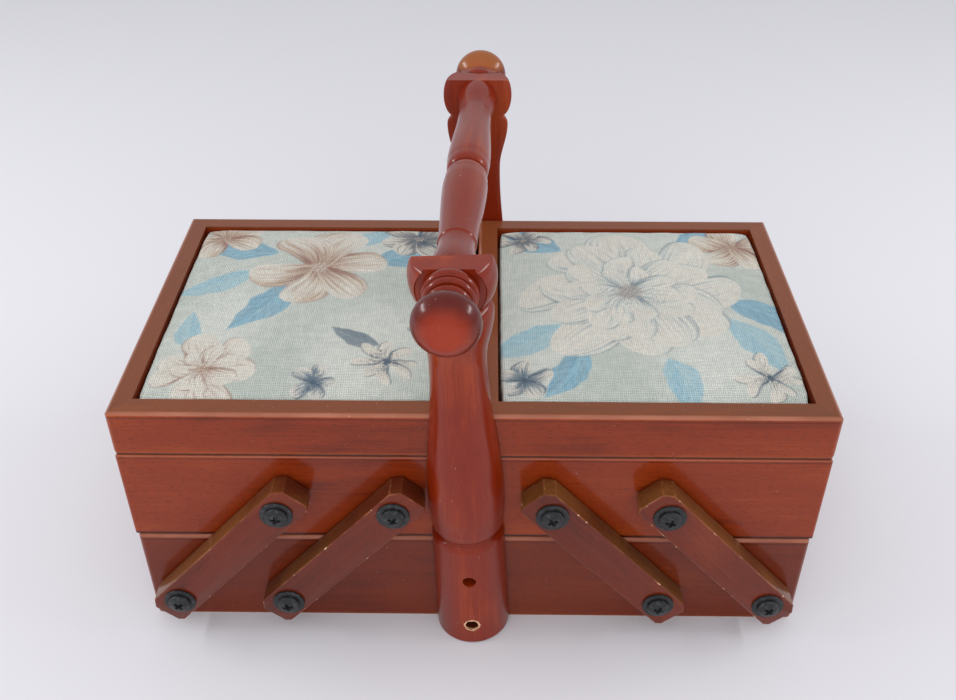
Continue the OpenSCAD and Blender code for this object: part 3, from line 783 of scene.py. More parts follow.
class Finishes:
    """The shared node groups, and the materials made from them."""

    def __init__(self) -> None:
        """Builds each shared group once."""
        self.wood = stained_wood_group()
        self.edges = box_edge_group()
        self.wear = wear_group()
        self.weave = canvas_weave_group()

    def start(self, name: str) -> tuple[bpy.types.Material, NodeSheet, bpy.types.Node, Socket]:
        """Starts a material with its shader and its Object coordinates.

        Args:
            name: the material's name.

        Returns:
            The material, a sheet on its tree, its Principled BSDF and the Object coordinates.
        """
        material = bpy.data.materials.new(name)
        material.use_nodes = True
        sheet = NodeSheet(material.node_tree)
        shader = material.node_tree.nodes["Principled BSDF"]
        return material, sheet, shader, sheet.add("TexCoord").outputs["Object"]

    def lacquer(self, shader: bpy.types.Node, coat: float = 0.5) -> None:
        """Sets the clear satin lacquer over a wood.

        Args:
            shader: the wood's shader.
            coat: weight of the lacquer.
        """
        shader.inputs["IOR"].default_value = 1.5
        shader.inputs["Specular IOR Level"].default_value = 0.08
        shader.inputs["Coat Weight"].default_value = coat
        shader.inputs["Coat Roughness"].default_value = 0.13
        shader.inputs["Coat IOR"].default_value = 1.5

    def bump(self, sheet: NodeSheet, shader: bpy.types.Node, height: Socket, depth: float) -> None:
        """Feeds a height into a shader's normal.

        Args:
            sheet: the material's sheet.
            shader: its shader.
            height: the height, from 0 to 1.
            depth: what a height of 1 stands for, in metres.
        """
        node = sheet.add("Bump")
        node.inputs["Strength"].default_value = 1.0
        node.inputs["Distance"].default_value = depth
        sheet.feed(node.inputs["Height"], height)
        sheet.feed(shader.inputs["Normal"], node.outputs["Normal"])

    def level(self, sheet: NodeSheet, z: Socket, middle: float, core: float, reach: float) -> Socket:
        """A mask of a level band: whole within core of its middle, and gone at reach, in metres."""
        return sheet.span(sheet.away(z, middle), reach, core)

    def surface(
        self,
        sheet: NodeSheet,
        shader: bpy.types.Node,
        tone: Socket,
        wood: bpy.types.Node,
        wear: bpy.types.Node,
        matt: float,
    ) -> None:
        """Feeds a wood's colour, dusted, and its roughness, rubbed, into its shader.

        Args:
            sheet: the material's sheet.
            shader: the material's shader.
            tone: the wood's colour.
            wood: the wood group's node.
            wear: the handling marks' node.
            matt: roughness that rubbing adds.
        """
        dusty = sheet.mix(sheet.times(wear.outputs["Dust"], 0.3), tone, srgb(*DUST))
        sheet.feed(shader.inputs["Base Color"], dusty)
        rough = sheet.plus(wood.outputs["Roughness"], sheet.times(wear.outputs["Rubbed"], matt))
        sheet.feed(shader.inputs["Roughness"], rough)

    def grained(
        self,
        sheet: NodeSheet,
        place: Socket,
        grain: Grain,
        stain: StainColours,
        clouds: float,
        pores: float = 1.0,
    ) -> bpy.types.Node:
        """Places the wood group with its grain turned the right way.

        Args:
            sheet: the material's sheet.
            place: the Object coordinates.
            grain: which way the grain runs.
            stain: the stain's colours.
            clouds: strength of the stain's clouds.
            pores: strength of the dark pores.

        Returns:
            The wood group's node.
        """
        turn = sheet.add("Mapping", vector_type="POINT")
        turn.inputs["Rotation"].default_value = tuple(math.radians(a) for a in grain.value)
        sheet.feed(turn.inputs["Vector"], place)
        return sheet.group(
            self.wood,
            Place=turn.outputs[0],
            Light=srgb(*stain.light),
            Middle=srgb(*stain.middle),
            Deep=srgb(*stain.deep),
            Clouds=clouds,
            Pores=pores,
        )

    def board(
        self, name: str, grain: Grain, stain: StainColours, low: Vector, high: Vector, edge_width: float
    ) -> bpy.types.Material:
        """Makes the stained wood of flat boards whose rubbed edges show a thinner stain, with a painted sheen
        on the rails' upper faces, painted highlights and shade lines along the upper edges, and painted shade
        in the seams.

        Args:
            name: the material's name.
            grain: which way the boards' grain runs.
            stain: the stain's colours.
            low: lowest corner of the box that the boards make, on the side where X is positive.
            high: its highest corner.
            edge_width: how far the thin stain reaches from the edges, in metres.

        Returns:
            The material.
        """
        material, sheet, shader, place = self.start(name)
        wood = self.grained(sheet, place, grain, stain, 0.95)
        x, y, z = sheet.split(place)
        mirrored = sheet.join(sheet.math("ABSOLUTE", x), y, z)
        edge = sheet.group(self.edges, Place=mirrored, Low=low, High=high, Width=edge_width, Raggedness=1.2)
        wear = sheet.group(self.wear, Place=place, Amount=1.0)
        mask = edge.outputs["Mask"]
        outside = sheet.span(edge.outputs["Depth"], 0.0024, 0.0012)
        crevices = [self.level(sheet, z, seam, 0.0003, 0.0009) for seam in SEAMS]
        tone = sheet.mix(sheet.times(mask, 0.38), wood.outputs["Color"], srgb(*stain.edge))
        # Painted sheen: the rails' upper faces take a paler brown for the light that falls on them, and a
        # darker red along their outer edges
        top = sheet.span(z, *TOP_FACE)
        tone = sheet.mix(sheet.times(top, 0.62), tone, srgb(*RAIL_TOP_SHEEN))
        tone = sheet.mix(sheet.times(mask, top, 0.75), tone, srgb(*RAIL_RIM))
        # Painted highlight along each upper edge, with a painted shade line just below it
        for crest, reach, shine in CRESTS:
            patchy = sheet.span(sheet.noise(place, 40, 2), 0.3, 0.7, 0.6, 1.0)
            painted_highlight = sheet.times(self.level(sheet, z, crest, reach * 0.4, reach), outside, patchy, shine)
            tone = sheet.mix(painted_highlight, tone, srgb(*CREST_HIGHLIGHT))
            line = self.level(sheet, z, crest - reach - 0.0008, 0.0001, 0.0006)
            tone = sheet.mix(sheet.times(line, outside, 0.5), tone, srgb(*CREST_SHADE_LINE))
        # Painted shade in the seams between lid and tray and between tray and base
        crevice = sheet.times(sheet.math("MAXIMUM", *crevices), outside, 0.9)
        tone = sheet.mix(crevice, tone, srgb(*SEAM_SHADE))
        self.surface(sheet, shader, tone, wood, wear, 0.12)
        self.lacquer(shader)
        self.bump(sheet, shader, sheet.plus(wood.outputs["Height"], wear.outputs["Height"]), 0.00006)
        return material

    def turned(
        self, name: str, place_turn: Matrix, holes: Sequence[float] = (), knobs: float = 0.0
    ) -> bpy.types.Material:
        """Makes the deep red stain of a turned piece, with faint tool rings across its axis.

        Args:
            name: the material's name.
            place_turn: the turned piece's place, whose Z is the turning's axis, in millimetres.
            holes: heights of holes with splintered pale rims and painted shade inside their bores, in
                millimetres.
            knobs: distance from the middle past which a turning's ends are balls, darker round the middle
                (partly deep stain, partly painted shade) and lighter at the tip (partly rubbed stain, partly
                painted highlight), in millimetres, or 0 for none.

        Returns:
            The material.
        """
        material, sheet, shader, place = self.start(name)
        back = place_turn.inverted()
        turn = sheet.add("Mapping", vector_type="POINT")
        turn.inputs["Rotation"].default_value = back.to_euler()
        turn.inputs["Location"].default_value = back.to_translation() * MM
        sheet.feed(turn.inputs["Vector"], place)
        wood = self.grained(sheet, turn.outputs[0], Grain.ALONG_Z, TURNED_STAIN, 0.9, 0.2)
        wear = sheet.group(self.wear, Place=turn.outputs[0], Amount=0.7)
        aside, inward, along = sheet.split(turn.outputs[0])
        rings = sheet.noise(sheet.join(0, 0, along), 900, 2, 0.6)
        ringed = sheet.times(sheet.span(rings, 0.55, 0.8), 0.15)
        tone = sheet.mix(ringed, wood.outputs["Color"], srgb(*TURNED_STAIN.edge))
        if knobs:
            ball = sheet.span(sheet.math("ABSOLUTE", along), knobs * MM, (knobs + 2) * MM)
            away = sheet.vector("LENGTH", sheet.join(aside, inward, 0))
            # On the balls: darker round the middle, partly deep stain and partly painted shade, and lighter
            # at the tip, partly rubbed stain and partly painted highlight
            deep = sheet.times(sheet.span(away, *BALL_RING, 0.0, 0.78), ball)
            tone = sheet.mix(deep, tone, srgb(*BALL_DEEP_STAIN_AND_SHADE))
            rubbed_and_lit_tip = sheet.times(sheet.span(away, *BALL_TIP, 0.0, 0.55), ball)
            tone = sheet.mix(rubbed_and_lit_tip, tone, srgb(*BALL_RUBBED_AND_HIGHLIGHT))
            # Painted light: the back ball's top is made lighter and tanner, for the light that falls on it
            _, depth, height = sheet.split(place)
            crown = sheet.times(sheet.span(height, *BALL_TOP), sheet.span(depth, *BALL_BACK), 0.6)
            tone = sheet.mix(crown, tone, srgb(*BALL_LIT_TOP))
        for height in holes:
            away = sheet.vector("LENGTH", sheet.join(aside, sheet.minus(along, height * MM), 0))
            ragged = sheet.times(sheet.minus(sheet.noise(place, 800, 2, 0.6)), 0.0022)
            rim = sheet.span(sheet.away(sheet.plus(away, ragged), 0.0032), 0.0005, 0.0002)
            front = sheet.span(inward, -0.0152, POST_FACE)
            tone = sheet.mix(sheet.times(rim, front, 0.85), tone, srgb(*HOLE_RIM))
            # Painted shade inside the hole's bore
            inside = sheet.span(inward, POST_FACE, -0.0150, 0.0, 0.8)
            bore = sheet.times(sheet.span(away, 0.0034, 0.0032), inside)
            tone = sheet.mix(bore, tone, srgb(*HOLE_SHADE))
        self.surface(sheet, shader, tone, wood, wear, 0.1)
        self.lacquer(shader, 0.6)
        shader.inputs["Coat Roughness"].default_value = 0.2
        self.bump(sheet, shader, sheet.plus(wood.outputs["Height"], sheet.times(rings, 0.5)), 0.00004)
        return material

    def arm(self, name: str, grain: Grain) -> bpy.types.Material:
        """Makes the stained wood of the arms, thinner on their sawn sides and rubbed edges.

        Args:
            name: the material's name.
            grain: which way the arms lean.

        Returns:
            The material.
        """
        material, sheet, shader, place = self.start(name)
        wood = self.grained(sheet, place, grain, ARM_STAIN, 1.1)
        sides = sheet.add("Attribute", attribute_name="sawn_side").outputs["Fac"]
        rims = sheet.add("Attribute", attribute_name="eased_edge").outputs["Fac"]
        patchy = sheet.span(sheet.noise(place, 14, 3, 0.6, 0.6), 0.38, 0.62)
        sawn = sheet.mix(patchy, srgb(*SAWN_DARK), srgb(*SAWN_PALE))
        sawn = sheet.mix(sheet.span(wood.outputs["Roughness"], 0.28, 0.36, 0.0, 0.4), sawn, srgb(*SAWN_GRAIN))
        tone = sheet.mix(sheet.times(sides, 0.85), wood.outputs["Color"], sawn)
        rubbed = sheet.times(rims, sheet.span(sheet.noise(place, 150, 3, 0.6), 0.4, 0.75, 0.05, 0.5))
        tone = sheet.mix(rubbed, tone, srgb(*ARM_RUBBED))
        chips = sheet.times(rims, sheet.span(sheet.noise(place, 330, 2, 0.6), 0.66, 0.70), 0.85)
        tone = sheet.mix(chips, tone, srgb(*ARM_CHIP))
        sheet.feed(shader.inputs["Base Color"], tone)
        sheet.feed(shader.inputs["Roughness"], wood.outputs["Roughness"])
        self.lacquer(shader)
        self.bump(sheet, shader, wood.outputs["Height"], 0.00006)
        return material

    def plywood(self, name: str) -> bpy.types.Material:
        """Makes thin stained plywood.

        Args:
            name: the material's name.

        Returns:
            The material.
        """
        material, sheet, shader, place = self.start(name)
        wood = self.grained(sheet, place, Grain.ALONG_X, PLY_STAIN, 1.0)
        sheet.feed(shader.inputs["Base Color"], wood.outputs["Color"])
        shader.inputs["Roughness"].default_value = 0.6
        self.bump(sheet, shader, wood.outputs["Height"], 0.00008)
        return material

    def black_steel(self, name: str) -> bpy.types.Material:
        """Makes the blackened steel of screws and washers, rubbed grey where it stands out.

        Args:
            name: the material's name.

        Returns:
            The material.
        """
        material, sheet, shader, place = self.start(name)
        blotch = sheet.noise(place, 420, 4, 0.65)
        fine = sheet.noise(place, 2600, 2, 0.6)
        tone = sheet.mix(sheet.span(blotch, 0.45, 0.75), srgb(*STEEL_BLACK), srgb(*STEEL_RUBBED))
        sheet.feed(shader.inputs["Base Color"], tone)
        shader.inputs["Metallic"].default_value = 0.45
        sheet.feed(shader.inputs["Roughness"], sheet.span(blotch, 0.3, 0.7, 0.36, 0.5))
        self.bump(sheet, shader, fine, 0.00002)
        return material

    def old_brass(self, name: str) -> bpy.types.Material:
        """Makes dulled brass, browner where it is tarnished.

        Args:
            name: the material's name.

        Returns:
            The material.
        """
        material, sheet, shader, place = self.start(name)
        tarnish = sheet.span(sheet.noise(place, 500, 4, 0.65), 0.4, 0.7)
        tone = sheet.mix(tarnish, srgb(*BRASS_CLEAN), srgb(*BRASS_TARNISHED))
        sheet.feed(shader.inputs["Base Color"], tone)
        shader.inputs["Metallic"].default_value = 1.0
        sheet.feed(shader.inputs["Roughness"], sheet.span(tarnish, 0, 1, 0.32, 0.5))
        self.bump(sheet, shader, sheet.noise(place, 3000, 2), 0.00001)
        return material

    def printed_canvas(self, name: str) -> bpy.types.Material:
        """Makes coarse canvas that carries the print of the piece's "print" colours.

        Args:
            name: the material's name.

        Returns:
            The material.
        """
        material, sheet, shader, place = self.start(name)
        weave = sheet.group(self.weave, Place=place, Pitch=THREAD_PITCH)
        ink = sheet.add("Attribute", attribute_name="print").outputs["Color"]
        slub = sheet.span(weave.outputs["Slub"], 0.25, 0.75, 0.90, 1.08)
        tone = sheet.mix(1.0, ink, sheet.join(slub, slub, slub), "MULTIPLY")
        # Painted shade in the gaps between threads
        tone = sheet.mix(sheet.times(weave.outputs["Gap"], 0.75), tone, srgb(*THREAD_GAP_SHADE))
        sheet.feed(shader.inputs["Base Color"], tone)
        shader.inputs["Roughness"].default_value = 0.92
        shader.inputs["Specular IOR Level"].default_value = 0.2
        shader.inputs["Sheen Weight"].default_value = 0.12
        shader.inputs["Sheen Roughness"].default_value = 0.5
        fuzz = sheet.times(sheet.noise(place, 5200, 2), 0.25)
        self.bump(sheet, shader, sheet.plus(weave.outputs["Height"], fuzz), 0.0004)
        return material


# The print


@dataclass(frozen=True)
class Leaf:
    """A printed leaf on a pad, its root at x, y, in millimetres and degrees."""

    x: float
    y: float
    turn: float
    length: float
    width: float
    tint: Screen
    shade: Screen
    seed: int = 0

    def reach(self) -> float:
        """How far from its root the leaf may paint."""
        return self.length * 1.1 + 2

    def paint(self, x: Array, y: Array, ink: Array) -> None:
        """Paints the leaf over the ink.

        Its half width at t along it is width times sin(pi t^0.8), and its side veins are a wave
        in t minus the distance from the midrib.

        Args:
            x: place of each point on the pad.
            y: place of each point on the pad.
            ink: colour of each point, changed in place.
        """
        a = math.radians(self.turn)
        t = ((x - self.x) * math.cos(a) + (y - self.y) * math.sin(a)) / self.length
        s = -(x - self.x) * math.sin(a) + (y - self.y) * math.cos(a)
        s = s - self.width * 0.35 * np.sin(np.pi * np.clip(t, 0, 1))
        inside = np.clip(t, 1e-4, 1 - 1e-4)
        half = self.width * np.sin(np.pi * inside**0.8) + 1e-6
        edge = half * (1 + 0.12 * ripple(t * 40, s, 9, self.seed)) - np.abs(s)
        cover = smoothstep(-0.3, 0.6, edge) * (t > 0) * (t < 1)
        veins = np.cos(2 * np.pi * 7 * (t - 0.25 * np.abs(s) / self.width))
        strokes = ripple(t * self.length / 6, s * 2.2, 3, self.seed + 1)
        tone = 0.5 + 0.18 * veins + 0.3 * strokes + 0.25 * np.sign(s) * (1 - np.abs(s) / (half + 1))
        tone = tone + 0.5 * np.exp(-((s / 0.5) ** 2)) + 0.3 * ripple(s * 1.6, t * 3, 1.6, self.seed + 4)
        layer_ink(ink, cover * (0.82 + 0.14 * strokes), blend_tints(self.shade, self.tint, tone))


@dataclass(frozen=True)
class Bloom:
    """A printed flower on a pad: whorls of petals round x, y, in millimetres and degrees."""

    x: float
    y: float
    radius: float
    petals: int
    whorls: int
    turn: float
    slimness: float
    rim: Screen
    body: Screen
    throat: Screen
    eye: Screen
    seed: int = 0

    def reach(self) -> float:
        """How far from its eye the flower may paint."""
        return self.radius * 1.25 + 2

    def paint(self, x: Array, y: Array, ink: Array) -> None:
        """Paints the flower over the ink, its outer whorl first.

        Along a petal t runs from 0 at the eye to 1 at the tip. Its half width is that of a circle
        sector drawn in at both ends: (t (1 - t^4))^0.5 times the petal's width.

        Args:
            x: place of each point on the pad.
            y: place of each point on the pad.
            ink: colour of each point, changed in place.
        """
        rng = np.random.default_rng(self.seed)
        dx, dy = x - self.x, y - self.y
        for whorl in range(self.whorls):
            reach = self.radius * (1 - 0.72 * whorl / max(self.whorls, 1))
            for petal in range(self.petals):
                turn = self.turn + 360 * (petal + 0.5 * whorl) / self.petals
                angle = math.radians(turn + rng.uniform(-9, 9))
                length = reach * rng.uniform(0.86, 1.1)
                width = length * self.slimness * rng.uniform(0.85, 1.12)
                bow = rng.uniform(-0.16, 0.16)
                self.paint_petal(dx, dy, ink, angle, length, width, bow, self.seed + 31 * whorl + petal)
        core = np.hypot(dx, dy) / (self.radius * 0.11)
        dots = ripple(dx, dy, 1.6, self.seed + 5)
        dotted = blend_tints(self.eye, self.throat, 0.5 + 0.5 * dots)
        layer_ink(ink, smoothstep(1.25, 0.7, core + 0.25 * dots) * 0.9, dotted)

    def paint_petal(
        self,
        dx: Array,
        dy: Array,
        ink: Array,
        angle: float,
        length: float,
        width: float,
        bow: float,
        seed: int,
    ) -> None:
        """Paints one petal.

        Args:
            dx: distance of each point from the eye along X.
            dy: distance of each point from the eye along Y.
            ink: colour of each point, changed in place.
            angle: direction of the petal, in radians.
            length: its length.
            width: its greatest half width, about.
            bow: how far its middle bends aside, as a share of its length.
            seed: seed of its strokes.
        """
        t = (dx * math.cos(angle) + dy * math.sin(angle)) / length
        s = -dx * math.sin(angle) + dy * math.cos(angle)
        s = s - bow * length * np.sin(np.pi * np.clip(t, 0, 1))
        inside = np.clip(t, 1e-4, 1)
        wave = 1 + 0.05 * ripple(t * 10, np.sign(s) * 3, 4, seed)
        half = width * np.sqrt(inside * (1 - inside**4)) * wave + 1e-3
        across = s / half
        cover = smoothstep(-0.25, 0.45, half - np.abs(s)) * (t > 0) * (t < 1)
        fan = ripple(across * 3.2, t * 0.8, 0.75, seed + 7)
        fine = ripple(across * 9, t * 1.6, 1.1, seed + 13)
        light = 0.22 + 0.62 * smoothstep(0.05, 0.8, t) + 0.24 * fan + 0.16 * fine
        light = light - 0.5 * smoothstep(0.1, 1.0, across) * (1 - 0.3 * t)
        light = light + 0.25 * np.exp(-(((across + 0.8) / 0.16) ** 2))
        tone = blend_tints(self.throat, self.body, smoothstep(-0.05, 0.55, light))
        bright = blend_tints(self.body, self.rim, smoothstep(0.45, 0.95, light))
        tone = tone + (bright - np.array(tint(self.body)))
        layer_ink(ink, cover * 0.97, np.clip(tone, 0, 1))
        stroke = ripple(across * 7, t * 0.9, 0.9, seed + 17)
        pale = cover * smoothstep(0.15, 0.5, stroke) * smoothstep(0.15, 0.5, t)
        layer_ink(ink, 0.55 * pale, np.array(tint(self.rim)) * 1.06 + 0 * tone)
        deep = cover * smoothstep(0.15, 0.5, -stroke) * smoothstep(1.0, 0.35, t)
        layer_ink(ink, 0.5 * deep, np.array(tint(self.throat)) + 0 * tone)
        line = np.exp(-(((half - np.abs(s)) / 0.45) ** 2)) * (t > 0.15) * (t < 1)
        layer_ink(ink, 0.55 * line * smoothstep(-0.4, 0.5, across), np.array(tint(self.throat)) + 0 * tone)


def tint(colour: Screen) -> tuple[float, float, float]:
    """A screen colour as linear values, without alpha."""
    return srgb(*colour)[:3]


def blend_tints(a: Screen, b: Screen, share: Array) -> Array:
    """Linear colours from a to b by a share for each point."""
    low, high = np.array(tint(a)), np.array(tint(b))
    return low + (high - low) * np.clip(share, 0, 1)[..., None]


def layer_ink(ink: Array, cover: Array, colour: Array) -> None:
    """Lays a colour over the ink in place.

    Args:
        ink: colour of each point, changed in place.
        cover: share of the new colour at each point.
        colour: the new colour.
    """
    c = np.clip(cover, 0, 1)[..., None]
    ink *= 1 - c
    ink += colour * c


MINT, SAGE, CREAM = (212, 215, 207), (188, 195, 187), (222, 215, 202)
SKY, TEAL, MIST = (134, 184, 204), (96, 150, 178), (168, 199, 206)
SLATE, STEEL = (66, 88, 108), (116, 134, 146)
ROSE, SAND, TAUPE, PEARL = (150, 108, 94), (200, 180, 160), (134, 130, 126), (220, 215, 204)

LEFT_PRINT: tuple[Leaf | Bloom, ...] = (
    Leaf(-22, 40, 158, 46, 9, SKY, TEAL, 1),
    Leaf(-30, 22, 200, 40, 8, MIST, SKY, 2),
    Leaf(-12, 12, 238, 44, 9, SKY, TEAL, 3),
    Leaf(26, 30, 20, 42, 10, SKY, TEAL, 4),
    Leaf(20, 48, 62, 30, 7, MIST, SKY, 5),
    Leaf(-48, -38, 100, 30, 6, MIST, SKY, 6),
    Leaf(34, -36, 150, 26, 5, STEEL, SLATE, 7),
    Leaf(50, -28, 60, 22, 5, STEEL, SLATE, 8),
    Bloom(46, 58, 21, 6, 1, 10, 0.42, PEARL, TAUPE, SLATE, SAND, 21),
    Bloom(0, 26, 36, 6, 1, 12, 0.46, PEARL, SAND, ROSE, CREAM, 22),
    Bloom(-52, 58, 20, 5, 1, 40, 0.52, CREAM, SAND, ROSE, SAND, 23),
    Bloom(-40, -52, 24, 7, 2, 0, 0.40, PEARL, CREAM, ROSE, SAND, 24),
    Bloom(38, -46, 15, 8, 1, 5, 0.26, PEARL, CREAM, SLATE, SLATE, 25),
    Bloom(55, -22, 11, 5, 1, 30, 0.48, PEARL, STEEL, SLATE, SLATE, 26),
    Bloom(8, -60, 10, 5, 1, 0, 0.48, PEARL, STEEL, SLATE, SLATE, 27),
)

RIGHT_PRINT: tuple[Leaf | Bloom, ...] = (
    Leaf(24, 44, 40, 48, 10, SKY, TEAL, 41),
    Leaf(-34, 44, 130, 40, 9, SKY, TEAL, 42),
    Leaf(40, 0, -30, 46, 10, SKY, TEAL, 43),
    Leaf(38, -14, -62, 44, 9, MIST, SKY, 44),
    Leaf(-36, -20, 205, 40, 9, MIST, SKY, 45),
    Leaf(-28, -36, 240, 36, 8, SKY, TEAL, 46),
    Leaf(8, -44, -80, 34, 8, MIST, SKY, 47),
    Bloom(52, 52, 22, 5, 1, 20, 0.5, CREAM, SAND, ROSE, SAND, 51),
    Bloom(-4, 6, 54, 8, 4, 8, 0.34, PEARL, MINT, STEEL, SAND, 52),
    Bloom(-52, 58, 14, 6, 1, 0, 0.40, PEARL, TAUPE, SLATE, SAND, 53),
    Bloom(50, -54, 15, 8, 1, 0, 0.28, PEARL, CREAM, SLATE, SLATE, 54),
    Bloom(-54, -56, 12, 5, 1, 15, 0.48, PEARL, STEEL, SLATE, SLATE, 55),
)


# Sub-assemblies


@dataclass
class Sizes:
    """Driving sizes of the carrier in millimetres, as the CAD has them."""

    seam: float = 99.0
    lid_top: float = 121.0
    base_height: float = 52.0
    tray_end: float = 150.0
    tray_front: float = 80.0
    base_end: float = 148.8
    base_front: float = 80.8
    centre_gap: float = 0.8


@dataclass
class Carcass:
    """The boards of the base, trays and lids, which keep their CAD shapes."""

    finishes: Finishes
    sizes: Sizes = field(default_factory=Sizes)

    def dress(self) -> int:
        """Gives every board its stained wood or plywood.

        Returns:
            The number of boards dressed.
        """
        s = self.sizes
        spans = {
            "base": ((-s.base_end, -s.base_front, 0), (s.base_end, s.base_front, s.base_height), 1.6),
            "tray": ((s.centre_gap, -s.tray_front, s.base_height), (s.tray_end, s.tray_front, s.seam), 1.3),
            "lid": ((s.centre_gap, -s.tray_front, s.seam), (s.tray_end, s.tray_front, s.lid_top), 2.4),
        }
        woods = {}
        for part, (low, high, width) in spans.items():
            for grain in (Grain.ALONG_X, Grain.ALONG_Y):
                name = f"{part}_boards_{grain.name.lower()}"
                # The base takes the darker copy of the stain, painted shade for its less lit boards
                stain = SHADED_BASE_STAIN if part == "base" else BOARD_STAIN
                corners = (Vector(corner) * MM for corner in (low, high))
                woods[part, grain] = self.finishes.board(name, grain, stain, *corners, width * MM)
        ply = self.finishes.plywood("stained_plywood")
        dressed = 0
        for name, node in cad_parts.items():
            part = "lid" if "_lid_" in name else "tray" if "_tray_" in name else "base"
            if name.endswith(("_wall", "_rail")):
                across = any(word in name for word in ("front", "back"))
                material = woods[part, Grain.ALONG_X if across else Grain.ALONG_Y]
            elif name.endswith(("_bottom", "_lid_board")):
                material = ply
            else:
                continue
            for slot in node.material_slots:
                slot.material = material
            dressed += 1
        return dressed


@dataclass
class Arms:
    """The eight cantilever arms, with eased edges over their CAD shapes."""

    finishes: Finishes
    edge: float = 0.45

    def build(self) -> list[str]:
        """Makes each arm from a merged copy of its node and dresses it.

        Returns:
            The names of the arms made.
        """
        woods = {
            "left": self.finishes.arm("left_arm_wood", Grain.LEFT_ARM),
            "right": self.finishes.arm("right_arm_wood", Grain.RIGHT_ARM),
        }
        made = []
        for name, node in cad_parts.items():
            if name.endswith("_arm"):
                piece = self.eased_copy(name, node)
                made.append(stand_for(piece, name, name, woods[name.split("_")[0]]))
        return made

    def eased_copy(self, name: str, node: bpy.types.Object) -> bpy.types.Object:
        """Copies an arm, merges its loose triangles and rounds its outer edges.

        Args:
            name: the node's name.
            node: the CAD object.

        Returns:
            The new piece, whose faces say where they were sawn and where they were eased.
        """
        piece = bpy.data.objects.new(name + "_wood", node.data.copy())
        bpy.context.scene.collection.objects.link(piece)
        mesh = piece.data
        with editing(mesh) as sheet:
            bmesh.ops.remove_doubles(sheet, verts=sheet.verts, dist=1e-6)
            bmesh.ops.dissolve_limit(
                sheet, angle_limit=math.radians(1), verts=sheet.verts, edges=sheet.edges
            )
            outer = [
                edge
                for edge in sheet.edges
                if edge.calc_face_angle(0) > math.radians(25) and not self.on_bore(edge)
            ]
            bmesh.ops.bevel(
                sheet,
                geom=outer,
                offset=self.edge * MM,
                segments=3,
                profile=0.5,
                affect="EDGES",
                clamp_overlap=True,
            )
        across = np.abs(read(mesh.polygons, "normal", 3)[:, 1])
        slim = read(mesh.polygons, "area")[:, 0] < self.edge * 75 * MM * MM
        for key, chosen in (("sawn_side", across < 0.5), ("eased_edge", (across < 0.995) & slim)):
            mesh.attributes.new(key, "FLOAT", "FACE").data.foreach_set("value", chosen.astype(float))
        smooth(piece, 30)
        return piece

    def on_bore(self, edge: bmesh.types.BMEdge) -> bool:
        """Whether an edge lies on the rim of a screw hole, where edges are short."""
        return edge.calc_length() < 0.6 * MM


